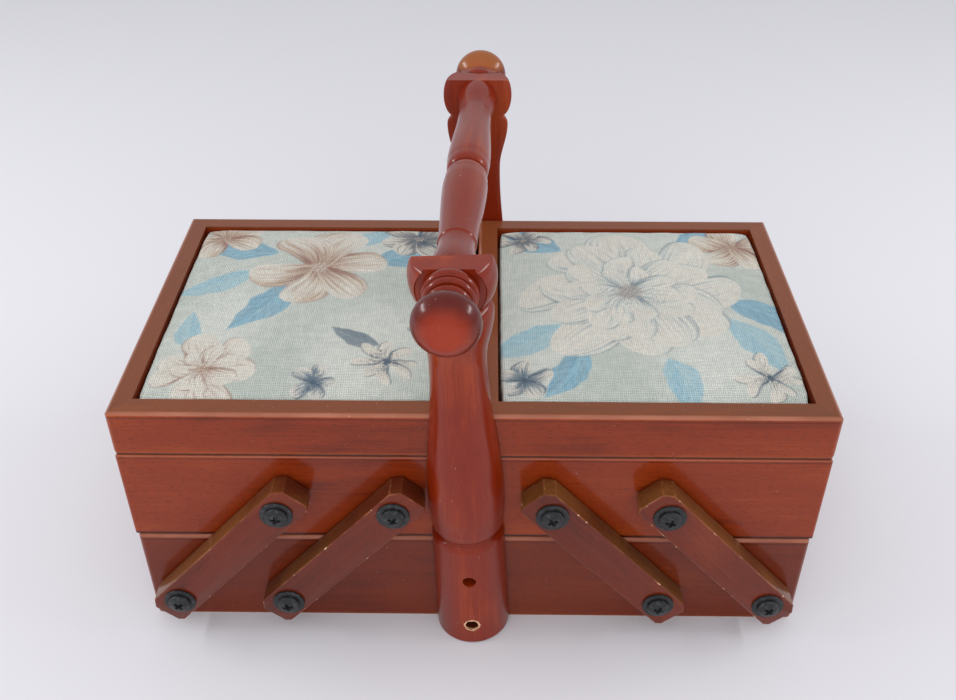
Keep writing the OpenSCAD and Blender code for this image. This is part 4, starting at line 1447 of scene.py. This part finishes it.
@dataclass
class Hardware:
    """The arm screws and washers, and the brass of the hinges and posts."""

    finishes: Finishes
    head_radius: float = 4.9
    head_height: float = 3.0
    shank_radius: float = 2.4
    play: float = 0.08
    shank_depth: float = 7.0
    washer_radius: float = 7.0
    recess_half: float = 2.5
    recess_width: float = 0.5
    recess_depth: float = 1.7
    low_columns: tuple[float, float] = (82.9, 132.0)
    high_columns: tuple[float, float] = (33.4, 82.5)
    low_height: float = 21.5
    high_height: float = 76.5
    base_face: float = 80.8
    tray_face: float = 80.0
    spacer_end: float = 81.8
    washer_start: float = 92.1
    head_start: float = 93.3

    def build(self) -> list[str]:
        """Makes the screws and washers in place of their nodes, and dresses the brass.

        Returns:
            The names of the pieces made.
        """
        black = self.finishes.black_steel("blackened_steel")
        brass = self.finishes.old_brass("dulled_brass")
        made = []
        for name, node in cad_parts.items():
            if name.endswith(("_hinge_leaves", "_hinge_pins", "_leaf_screws")) or name == "post_screws":
                for slot in node.material_slots:
                    slot.material = brass
            if name.endswith("_pivot_screws"):
                made.append(self.screws(name, black))
            if name.endswith("_pivot_washers"):
                made.append(self.washers(name, black))
        return made

    def places(self, name: str) -> list[tuple[float, float, int]]:
        """Where the screws of a node lie.

        Args:
            name: the node's name.

        Returns:
            X and Z of each screw in millimetres, and -1 for the front or 1 for the back.
        """
        if name.startswith("base"):
            columns = [side * x for side in (-1, 1) for x in self.low_columns]
            height = self.low_height
        else:
            side = -1 if name.startswith("left") else 1
            columns = [side * x for x in self.high_columns]
            height = self.high_height
        return [(x, height, end) for x in columns for end in (-1, 1)]

    def face(self, name: str) -> float:
        """Distance of the boards' face that a node's screws go into from the middle."""
        return self.base_face if name.startswith("base") else self.tray_face

    def head_grid(self, turn: float, tip: float) -> Array:
        """The surface of one screw on +Z: a shank, a rim and a dome with a cross recess.

        The dome's height follows (1 - q^2)^0.8, with q the radius over the head's. The recess is
        as deep as stated where either of two crossing bars lies, with walls that slope in.

        Args:
            turn: angle of the cross, in radians.
            tip: depth of the shank's end below the head.

        Returns:
            A grid of points round the screw's axis, z = 0 at the head's underside.
        """
        rise = self.head_height * 0.66
        rim = self.head_height - rise
        radii = np.concatenate([np.linspace(0, 0.62, 22), np.linspace(0.66, 1, 10)]) * self.head_radius
        a = np.linspace(0, 2 * np.pi, 96, endpoint=False)
        r = radii[::-1, None]
        dome = rim + rise * (1 - (r / self.head_radius) ** 2) ** 0.8
        x, y = r * np.cos(a + turn), r * np.sin(a + turn)
        bars = []
        for along, across in ((x, y), (y, x)):
            long = smoothstep(self.recess_half, self.recess_half - 1.1, np.abs(along))
            wide = smoothstep(self.recess_width + 0.28, self.recess_width - 0.12, np.abs(across))
            bars.append(long * wide)
        depth = np.maximum(*bars) * self.recess_depth
        top = np.stack([r * np.cos(a), r * np.sin(a), dome + 0 * a - depth], 2)
        lower = np.array([
            [0, -tip], [self.shank_radius, -tip], [self.shank_radius, 0],
            [self.head_radius - 0.2, 0], [self.head_radius, 0.2], [self.head_radius, rim - 0.15],
        ])
        return np.concatenate([full_turn(lower, 96), top], 0)

    def screws(self, name: str, material: bpy.types.Material) -> str:
        """Makes one node's arm screws as one piece.

        Args:
            name: the node's name.
            material: their steel.

        Returns:
            The piece's name.
        """
        rng = np.random.default_rng(len(name))
        grids = []
        tip = self.head_start - self.face(name) + self.shank_depth
        for x, z, end in self.places(name):
            grid = self.head_grid(rng.uniform(0, np.pi / 2), tip)
            grids.append(self.turned_to(grid, x, z, end, self.head_start))
        return self.settle(name, grids, material, "black_screw")

    def washers(self, name: str, material: bpy.types.Material) -> str:
        """Makes one node's washers as one piece, their rims rounded.

        Args:
            name: the node's name.
            material: their steel.

        Returns:
            The piece's name.
        """
        grids = []
        bore = self.shank_radius + self.play
        rim = self.washer_radius
        for x, z, end in self.places(name):
            for low, high in ((self.face(name), self.spacer_end), (self.washer_start, self.head_start)):
                ring = np.concatenate([
                    [[bore, low], [bore, high], [rim - 1.4, high]],
                    arc((rim - 0.6, high - 0.5), (0.6, 0.45), 80, 0, 5),
                    [[rim, low + 0.2], [rim - 0.2, low], [bore, low]],
                ])
                grids.append(self.turned_to(full_turn(ring, 72), x, z, end, 0))
        return self.settle(name, grids, material, "black_washer")

    def turned_to(self, grid: Array, x: float, z: float, end: int, out: float) -> Array:
        """Turns a grid's Z axis outwards, to the front or the back, and sets it on its screw's place."""
        return np.stack([x + grid[..., 0], end * (out + grid[..., 2]), z + grid[..., 1]], 2)

    def settle(self, node: str, grids: Sequence[Array], material: bpy.types.Material, slot: str) -> str:
        """Makes a node's steel parts one piece that stands for it.

        Args:
            node: the node that it replaces.
            grids: the parts' surfaces.
            material: their steel.
            slot: not used.

        Returns:
            The piece's name.
        """
        piece = make_piece(node + "_steel", *gather(grids))
        smooth(piece, 40)
        body = "base" if node.startswith("base") else node.split("_")[0] + "_tray"
        return stand_for(piece, node, body, material)


@dataclass
class Handle:
    """The two half-round posts, the carrying bar and the knobs, all turned."""

    finishes: Finishes
    post_y: float = 80.8
    lean: float = 2.2
    bar_z: float = 187.5
    foot: float = 16.6
    belly: float = 16.5
    groove: float = 13.6
    groove_height: float = 60.5
    shoulder: float = 4.6
    hole: float = 2.9
    taper: float = 0.6
    belly_up: float = 15.0
    waist: float = 11.4
    waist_up: float = 26.0
    flare: float = 15.0
    flare_down: float = 13.5
    notch: float = 11.8
    notch_up: float = 4.4
    bead: float = 16.6
    bead_up: float = 1.4
    head_top: float = 9.3
    seat_thick: float = 9.6
    seat: float = 13.2
    bar_swell: float = 9.4
    bar_neck: float = 7.2
    bar_groove: float = 7.4
    knob: float = 12.58
    knob_half: float = 9.2
    knob_out: float = 20.4
    counterbore: float = 7.0
    past: float = 16.0
    screw_heights: tuple[float, float] = (11.5, 40.0)

    def __post_init__(self) -> None:
        """Works out the eyes that the bar runs between, and the bar's place."""
        tilt = math.radians(self.lean)
        self.lift = self.foot * math.sin(tilt)
        front = Vector((-self.bar_z * math.sin(tilt), -self.post_y, self.bar_z * math.cos(tilt) + self.lift))
        back = Vector((0, self.post_y, self.bar_z))
        run = back - front
        self.bar_half = run.length / 2
        self.seat_from_middle = self.bar_half + self.seat_thick
        along_run = Vector((0, 0, 1)).rotation_difference(run).to_matrix().to_4x4()
        self.on_bar = Matrix.Translation((front + back) / 2) @ along_run
        lean = Matrix.Rotation(-tilt, 4, "Y")
        forward = Matrix.Translation((0, -self.post_y, 0))
        self.front_place = Matrix.Translation((0, 0, self.lift)) @ lean @ forward
        self.back_place = Matrix.Rotation(math.pi, 4, "Z") @ forward

    def post_outline(self) -> Array:
        """The turned outline of a post from its foot to its flat top.

        Returns:
            Rows of [radius, height].
        """
        groove_z = self.groove_height
        belly_z = groove_z + self.belly_up
        flare_z = self.bar_z - self.flare_down
        waist_z = (belly_z + flare_z) / 2 + self.waist_up
        notch_z = flare_z + self.notch_up
        bead_z = self.bar_z + self.bead_up
        bead_half = bead_z - notch_z
        head_z = self.bar_z + self.head_top
        end = math.degrees(math.asin((head_z - bead_z) / bead_half))
        round_ = self.shoulder
        foot_top = self.foot - self.taper
        over = math.degrees(math.acos((self.groove + 0.35 - (foot_top - round_)) / round_))
        shoulder_z = groove_z - 0.5 - round_ * math.sin(math.radians(over))
        runs = [
            np.array([[0.0, 0.0]]),
            straight((2, 0), (self.foot - 0.3, 0), 5),
            arc((self.foot - 0.3, 0.3), (0.3, 0.3), -90, 0, 4),
            straight((self.foot, 0.6), (foot_top, shoulder_z - 0.5), 26),
            arc((foot_top - round_, shoulder_z), (round_, round_), 0, over, 14),
            arc((self.groove + 0.35, groove_z), (0.35, 0.4), 240, 120, 4),
            arc((self.belly - 4, groove_z + 4), (3, 3), -78, 0, 10),
            eased((self.belly - 0.6, groove_z + 6), (self.belly, belly_z), 8),
            eased((self.belly, belly_z), (self.waist, waist_z), 40),
            eased((self.waist, waist_z), (self.flare, flare_z), 28),
            arc((self.notch, flare_z), (self.flare - self.notch, notch_z - flare_z), 8, 84, 12),
            arc((self.notch, bead_z), (self.bead - self.notch, bead_half), -75, end - 4, 26),
        ]
        last = runs[-1][-1]
        runs += [straight((last[0] - 0.5, head_z), (1, head_z), 8), np.array([[0.0, head_z]])]
        return np.concatenate(runs)

    def hole_cutter(
        self, name: str, depth: float, radius: float, chips: float, place: Matrix, seed: int
    ) -> bpy.types.Object:
        """A slightly ragged cylinder that bores a screw hole from y = -depth outwards.

        Its radius is the hole's times 1 plus chips times a ripple round it that fades inwards.

        Args:
            name: name of the cutter.
            depth: distance of the hole's bottom from the post's axis.
            radius: the hole's radius.
            chips: how ragged its mouth is.
            place: where the hole's axis crosses the post's axis.
            seed: seed of the raggedness.

        Returns:
            The cutter.
        """
        wall = straight((radius, depth), (radius, 24), 24)
        outline = np.concatenate([[[0, depth]], wall, [[radius + 1, 26], [0, 26]]])
        grid = full_turn(outline, 48)
        angle = np.arctan2(grid[..., 1], grid[..., 0])
        mouth = smoothstep(self.foot - 1.8, self.foot + 0.2, grid[..., 2])
        bite = ripple(np.cos(angle) * 3, np.sin(angle) * 3 + grid[..., 2] / 3, 2.2, seed)
        ragged = 1 + chips * mouth * np.maximum(bite, -0.1)
        points = np.stack([grid[..., 0] * ragged, -grid[..., 2], grid[..., 1] * ragged], 2)
        return make_piece(name, *gather([points]), place)

    def seat_cutter(self, end: float) -> bpy.types.Object:
        """The drill that bores a knob's seat.

        Args:
            end: -1 at the front, 1 at the back.

        Returns:
            The cutter.
        """
        low = self.seat_from_middle
        high = low + self.past
        outline = np.array([
            [0, low], [self.seat - 0.4, low], [self.seat, low + 0.4], [self.seat, high], [0, high]
        ])
        grid = full_turn(outline, 128)
        grid[..., 2] *= end
        return make_piece("seat_cutter", *gather([grid]), self.on_bar)

    def build(self) -> list[str]:
        """Makes the posts, the bar and the knobs in place of their nodes.

        Returns:
            The names of the pieces made.
        """
        made = []
        for name, place, end in (("front_post", self.front_place, -1), ("back_post", self.back_place, 1)):
            made.append(self.post(name, place, end))
        wood = self.finishes.turned("bar_wood", self.on_bar, knobs=self.bar_half + 19)
        bar = make_piece("handle_bar_wood", *gather([full_turn(self.bar_outline(), 96)]), self.on_bar)
        made.append(self.settle(bar, "handle_bar", wood))
        for name, end in (("front_knob", -1), ("back_knob", 1)):
            outline = self.knob_outline()
            outline[:, 1] = end * (outline[:, 1] + self.seat_from_middle)
            knob = make_piece(name + "_wood", *gather([full_turn(outline, 112)]), self.on_bar)
            made.append(self.settle(knob, name, wood))
        return made

    def post(self, name: str, place: Matrix, end: int) -> str:
        """Makes one post with its seat and screw holes.

        Args:
            name: the node's name.
            place: where its axis stands.
            end: -1 at the front, 1 at the back.

        Returns:
            The piece's name.
        """
        piece = make_piece(name + "_wood", *gather([half_turn(self.post_outline(), 0.8, 72)]), place)
        bottom = self.foot - self.counterbore
        cutters = [self.seat_cutter(end)]
        for k, height in enumerate(self.screw_heights):
            at = place @ Matrix.Translation((0, 0, height))
            chips, seed = 0.42 - 0.22 * k, 3 * k + end + 5
            cutters.append(self.hole_cutter(f"{name}_hole_{k}", bottom, self.hole, chips, at, seed))
        carve(piece, cutters)
        holes = self.screw_heights[:1] if end < 0 else ()
        return self.settle(piece, name, self.finishes.turned(name + "_stain", place, holes))

    def bar_outline(self) -> Array:
        """The bar's outline between the posts.

        Returns:
            Rows of [radius, distance from the middle].
        """
        step = self.bar_half * 0.72
        swell, neck, half = self.bar_swell, self.bar_neck, self.bar_half
        side = np.concatenate([
            arc((self.bar_groove, 6), (swell - self.bar_groove - 0.3, 5), -90, 0, 14),
            eased((swell - 0.3, 6), (swell, 12), 6),
            eased((swell, 12), (neck + 0.5, step), 40),
            [[neck + 0.5, step], [neck + 0.2, step + 0.3], [neck + 0.05, step + 0.9]],
            eased((neck, step + 1.2), (swell, half), 24),
            [[swell, half]],
        ])
        mirrored = side[::-1] * [1, -1]
        return np.concatenate([[[0, -half]], mirrored, [[self.bar_groove, 0]], side, [[0, half]]])

    def knob_outline(self) -> Array:
        """A knob's outline from its seat outwards: three rings, then the ball with a flat end.

        Returns:
            Rows of [radius, distance from the seat].
        """
        rings = [self.knob - 2, self.knob - 2.8, self.knob - 4]
        ends = [0.0, 4.4, 7.8, self.knob_out - self.knob_half]
        runs = [np.array([[0.0, 0.0]])]
        for radius, low, high in zip(rings, ends, ends[1:]):
            runs.append(arc((radius - 1.4, (low + high) / 2), (1.4, (high - low) / 2), -85, 85, 14))
        inner = math.degrees(math.acos((rings[2] - 1.4) / self.knob))
        runs.append(arc((0, self.knob_out), (self.knob, self.knob_half), -inner, 58, 44))
        flat = runs[-1][-1]
        runs.append(eased((flat[0] - 0.5, flat[1] + 0.15), (0, flat[1] + 0.35), 6))
        runs.append(np.array([[0.0, flat[1] + 0.35]]))
        return np.concatenate(runs)

    def settle(self, piece: bpy.types.Object, node: str, material: bpy.types.Material) -> str:
        """Gives a turned piece its stain and lets it stand for its node.

        Args:
            piece: the piece.
            node: the node that it replaces.
            material: its stain.

        Returns:
            The piece's name.
        """
        smooth(piece, 32)
        return stand_for(piece, node, "base", material)


@dataclass
class Pads:
    """The padded, printed panels let into the lids."""

    finishes: Finishes
    columns: int = 80
    rows: int = 86
    cap: float = 3.2
    frames: int = 18
    sink: float = 5.2
    proud: float = 1.2
    roll: float = 3.0
    crown: float = 3.4
    spread: float = np.pi / 2 * 0.93

    def build(self) -> list[str]:
        """Makes both pads in place of their nodes.

        Returns:
            The names of the pads.
        """
        canvas = self.finishes.printed_canvas("printed_canvas")
        made = []
        for side, motifs in (("left", LEFT_PRINT), ("right", RIGHT_PRINT)):
            piece = self.stuffed(side)
            self.print_on(piece, motifs)
            made.append(stand_for(piece, side + "_lid_pad", side + "_lid", canvas))
        return made

    def stuffed(self, side: str) -> bpy.types.Object:
        """Makes one pad: a tight rolled form, blown up by a short cloth simulation.

        The form's height over its edge follows the fourth root of the distance from the rails, so
        it rolls over at the edge. Its corners are drawn in, and a small ripple puckers the edge.

        Args:
            side: left or right.

        Returns:
            The pad, subdivided.
        """
        low, high = (np.array(v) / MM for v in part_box(side + "_lid_pad"))
        centre, half = (low + high) / 2, (high - low) / 2
        steps = (
            np.sin(np.linspace(-1, 1, count) * self.spread) / math.sin(self.spread)
            for count in (self.columns, self.rows)
        )
        u, v = np.meshgrid(*steps, indexing="ij")
        seed = 3 if side == "left" else 8
        flat_x, flat_y = u * half[0], v * half[1]
        pucker = 0.25 * (1 + ripple(flat_x, flat_y, 14, seed)) * np.maximum(np.abs(u), np.abs(v)) ** 16
        pull = 1.2 * np.abs(u * v) ** 9 + pucker
        x, y = centre[0] + u * (half[0] - pull), centre[1] + v * (half[1] - pull)
        roll = np.sqrt(np.sqrt(np.maximum((1 - np.abs(u) ** 10) * (1 - np.abs(v) ** 10), 0)))
        crown = (1 - u**2) * (1 - v**2)
        edge_z, top_z = high[2] - self.sink, high[2] + self.proud
        filling = self.crown * 0.35
        unevenness = 0.22 * ripple(flat_x, flat_y, 19, seed + 1) * roll
        z = edge_z + self.roll * roll + filling * crown + unevenness
        top = np.stack([x, y, np.minimum(z, top_z)], 2)
        skirt = self.skirt(top, low[2])
        points = np.concatenate([top.reshape(-1, 3), skirt.reshape(-1, 3)])
        piece = make_piece(side + "_pad", points, self.faces(len(skirt)))
        self.change_floor(piece, fill=True)
        self.inflate(piece, edge_z, top_z)
        self.change_floor(piece, fill=False)
        for name in ("finer", "finest"):
            finer = piece.modifiers.new(name, "SUBSURF")
            finer.levels = finer.render_levels = 1
        apply_modifiers(piece)
        self.change_floor(piece, fill=True)
        smooth(piece, 60)
        return piece

    def change_floor(self, piece: bpy.types.Object, fill: bool) -> None:
        """Fills the opening under a pad with one flat face, or takes that face out.

        Args:
            piece: the pad.
            fill: whether the opening is filled.
        """
        with editing(piece.data) as sheet:
            if fill:
                bmesh.ops.holes_fill(sheet, edges=[e for e in sheet.edges if e.is_boundary], sides=0)
                bmesh.ops.recalc_face_normals(sheet, faces=sheet.faces)
            else:
                floor = [face for face in sheet.faces if len(face.verts) > 4]
                bmesh.ops.delete(sheet, geom=floor, context="FACES_ONLY")

    def rim(self) -> Faces:
        """The top grid's rim.

        Returns:
            Its vertex numbers, once round.
        """
        n, m = self.columns, self.rows
        number = np.arange(n * m).reshape(n, m)
        return np.concatenate([number[:-1, 0], number[-1, :-1], number[:0:-1, -1], number[0, :0:-1]])

    def skirt(self, top: Array, floor: float) -> Array:
        """Rings below the top's rim: straight down to the pad's underside, then a little inwards.

        Args:
            top: the top's grid.
            floor: height of the underside.

        Returns:
            Rings of points, ring by rim point by three.
        """
        rim = top.reshape(-1, 3)[self.rim()]
        middle = rim.mean(0)
        rings = []
        for drop in (0.35, 0.7, 1.0):
            ring = rim.copy()
            ring[:, 2] = rim[:, 2] + (floor - rim[:, 2]) * drop
            rings.append(ring)
        ring = middle + (rim - middle) * 0.95
        ring[:, 2] = floor
        rings.append(ring)
        return np.stack(rings)

    def faces(self, rings: int) -> Faces:
        """Quads of the top grid and of the rings below its rim.

        Args:
            rings: number of rings.

        Returns:
            Four vertex numbers a face.
        """
        rim = self.rim()
        count = len(rim)
        first = self.columns * self.rows
        numbers = np.concatenate([rim[None], first + np.arange(rings * count).reshape(rings, count)])
        nearby = np.roll(numbers, -1, 1)
        skirt = np.stack([numbers[:-1], nearby[:-1], nearby[1:], numbers[1:]], 2).reshape(-1, 4)
        return np.concatenate([grid_faces(self.columns, self.rows, False), skirt])

    def inflate(self, piece: bpy.types.Object, edge_z: float, top_z: float) -> None:
        """Blows the pad's top up against its rim with cloth pressure, and caps the movement.

        Args:
            piece: the pad.
            edge_z: height of the rim, in millimetres; what lies below it is held.
            top_z: height that the crown may reach.
        """
        mesh = piece.data
        start = read(mesh.vertices, "co", 3)
        held = piece.vertex_groups.new(name="held")
        held.add(np.flatnonzero(start[:, 2] < (edge_z + 0.9) * MM).tolist(), 1.0, "REPLACE")
        cloth = piece.modifiers.new("cloth", "CLOTH")
        settings = cloth.settings
        settings.quality = 6
        settings.mass = 0.3
        settings.tension_stiffness = settings.compression_stiffness = 18
        settings.shear_stiffness = 12
        settings.bending_stiffness = 2.0
        settings.vertex_group_mass = "held"
        settings.use_pressure = True
        settings.uniform_pressure_force = 4
        settings.effector_weights.gravity = 0
        cloth.collision_settings.use_self_collision = False
        cloth.point_cache.frame_start = 1
        cloth.point_cache.frame_end = self.frames
        for step in range(1, self.frames + 1):
            bpy.context.scene.frame_set(step)
        graph = bpy.context.evaluated_depsgraph_get()
        move = read(piece.evaluated_get(graph).data.vertices, "co", 3) - start
        length = np.linalg.norm(move, axis=1, keepdims=True)
        move *= np.minimum(1, self.cap * MM / np.maximum(length, 1e-9))
        LOG.info("%s: cloth moved up to %.2f mm", piece.name, length.max() / MM)
        piece.modifiers.clear()
        bpy.context.scene.frame_set(1)
        end = start + move
        end[:, 2] = np.minimum(end[:, 2], top_z * MM)
        mesh.vertices.foreach_set("co", end.ravel())
        mesh.update()

    def print_on(self, piece: bpy.types.Object, motifs: Sequence[Leaf | Bloom]) -> None:
        """Paints the ground and the motifs into the pad's "print" colours.

        Args:
            piece: the pad.
            motifs: leaves and flowers, painted in order.
        """
        mesh = piece.data
        co = read(mesh.vertices, "co", 3) / MM
        low, high = co.min(0), co.max(0)
        x, y = co[:, 0] - (low[0] + high[0]) / 2, co[:, 1] - (low[1] + high[1]) / 2
        cloud = 0.5 + 0.5 * ripple(x, y, 70, 61) + 0.2 * ripple(x, y, 9, 62)
        ink = blend_tints(SAGE, MINT, cloud)
        for motif in motifs:
            near = np.hypot(x - motif.x, y - motif.y) < motif.reach()
            part = ink[near]
            motif.paint(x[near], y[near], part)
            ink[near] = part
        colours = np.concatenate([ink, np.ones((len(ink), 1))], 1)
        layer = mesh.color_attributes.new("print", "FLOAT_COLOR", "POINT")
        layer.data.foreach_set("color", colours.astype(np.float32).ravel())


# The view


@dataclass
class Studio:
    """The camera at the photograph's view, soft lights and a pale floor."""

    image_width: int = 956
    focal_pixels: float = 1062.0
    sensor: float = 36.0
    camera_place: tuple[float, float, float] = (5.82, -407.77, 397.77)
    look_down: float = 36.607
    look_left: float = 0.656
    room_light: float = 0.7
    floor_half: float = 30000.0

    def build(self) -> None:
        """Makes the camera, the floor, the lamps and the world."""
        scene = bpy.context.scene
        scene.view_settings.view_transform = "Standard"
        self.camera(scene)
        self.floor()
        self.lamp("left_window", (-950, 60, 600), (680, 80), 3.8)
        self.lamp("right_window", (950, 60, 600), (680, 80), 3.5)
        self.lamp("top_softbox", (-120, -450, 1500), (1300, 1100), 2.6, glints=False)
        self.lamp("front_softbox", (-60, -1500, 900), (1500, 900), 11.5, glints=False)
        self.room(scene)

    def room(self, scene: bpy.types.Scene) -> None:
        """Makes the pale room around the carrier.

        Args:
            scene: the scene.
        """
        world = bpy.data.worlds.new("pale_room")
        world.use_nodes = True
        scene.world = world
        backdrop = world.node_tree.nodes["Background"]
        backdrop.inputs["Color"].default_value = (0.96, 0.97, 1.0, 1)
        backdrop.inputs["Strength"].default_value = self.room_light

    def camera(self, scene: bpy.types.Scene) -> None:
        """Places the camera as the photograph was taken.

        Args:
            scene: the scene.
        """
        data = bpy.data.cameras.new("camera")
        data.sensor_width = self.sensor
        data.lens = self.focal_pixels * self.sensor / self.image_width
        camera = bpy.data.objects.new("camera", data)
        camera.location = Vector(self.camera_place) * MM
        camera.rotation_euler = (math.radians(90 - self.look_down), 0, math.radians(self.look_left))
        scene.collection.objects.link(camera)
        scene.camera = camera

    def floor(self) -> None:
        """Makes a wide pale floor."""
        corners = [[-1, -1, 0], [1, -1, 0], [1, 1, 0], [-1, 1, 0]]
        points = np.array(corners) * self.floor_half
        floor = make_piece("floor", points, np.array([[0, 1, 2, 3]]))
        material = bpy.data.materials.new("pale_floor")
        material.use_nodes = True
        shader = material.node_tree.nodes["Principled BSDF"]
        shader.inputs["Base Color"].default_value = srgb(*PALE_FLOOR)
        shader.inputs["Roughness"].default_value = 0.6
        floor.data.materials.append(material)

    def lamp(
        self, name: str, place: Sequence[float], size: Sequence[float], power: float, glints: bool = True
    ) -> None:
        """Hangs a soft rectangular lamp that looks at the carrier.

        Args:
            name: the lamp's name.
            place: where it hangs, in millimetres.
            size: its width and height.
            power: its power in watts.
            glints: whether glossy surfaces show it.
        """
        data = bpy.data.lights.new(name, "AREA")
        data.shape = "RECTANGLE"
        data.size, data.size_y = size[0] * MM, size[1] * MM
        data.energy = power
        lamp = bpy.data.objects.new(name, data)
        lamp.location = Vector(place) * MM
        lamp.visible_glossy = glints
        aim = Vector((0, 0, 90)) - Vector(place)
        lamp.rotation_euler = aim.to_track_quat("-Z", "Y").to_euler()
        bpy.context.scene.collection.objects.link(lamp)


def main() -> None:
    """Builds the view and dresses the carrier, sub-assembly by sub-assembly."""
    logging.basicConfig(level=logging.INFO, format="%(name)s: %(message)s")
    Studio().build()
    finishes = Finishes()
    LOG.info("boards dressed: %d", Carcass(finishes).dress())
    builders: list[tuple[str, Callable[[], list[str]]]] = [
        ("arms", Arms(finishes).build),
        ("hardware", Hardware(finishes).build),
        ("handle", Handle(finishes).build),
        ("pads", Pads(finishes).build),
    ]
    for label, build in builders:
        for piece in build():
            LOG.info("%s: %s", label, piece)


if __name__ == "__main__":
    main()
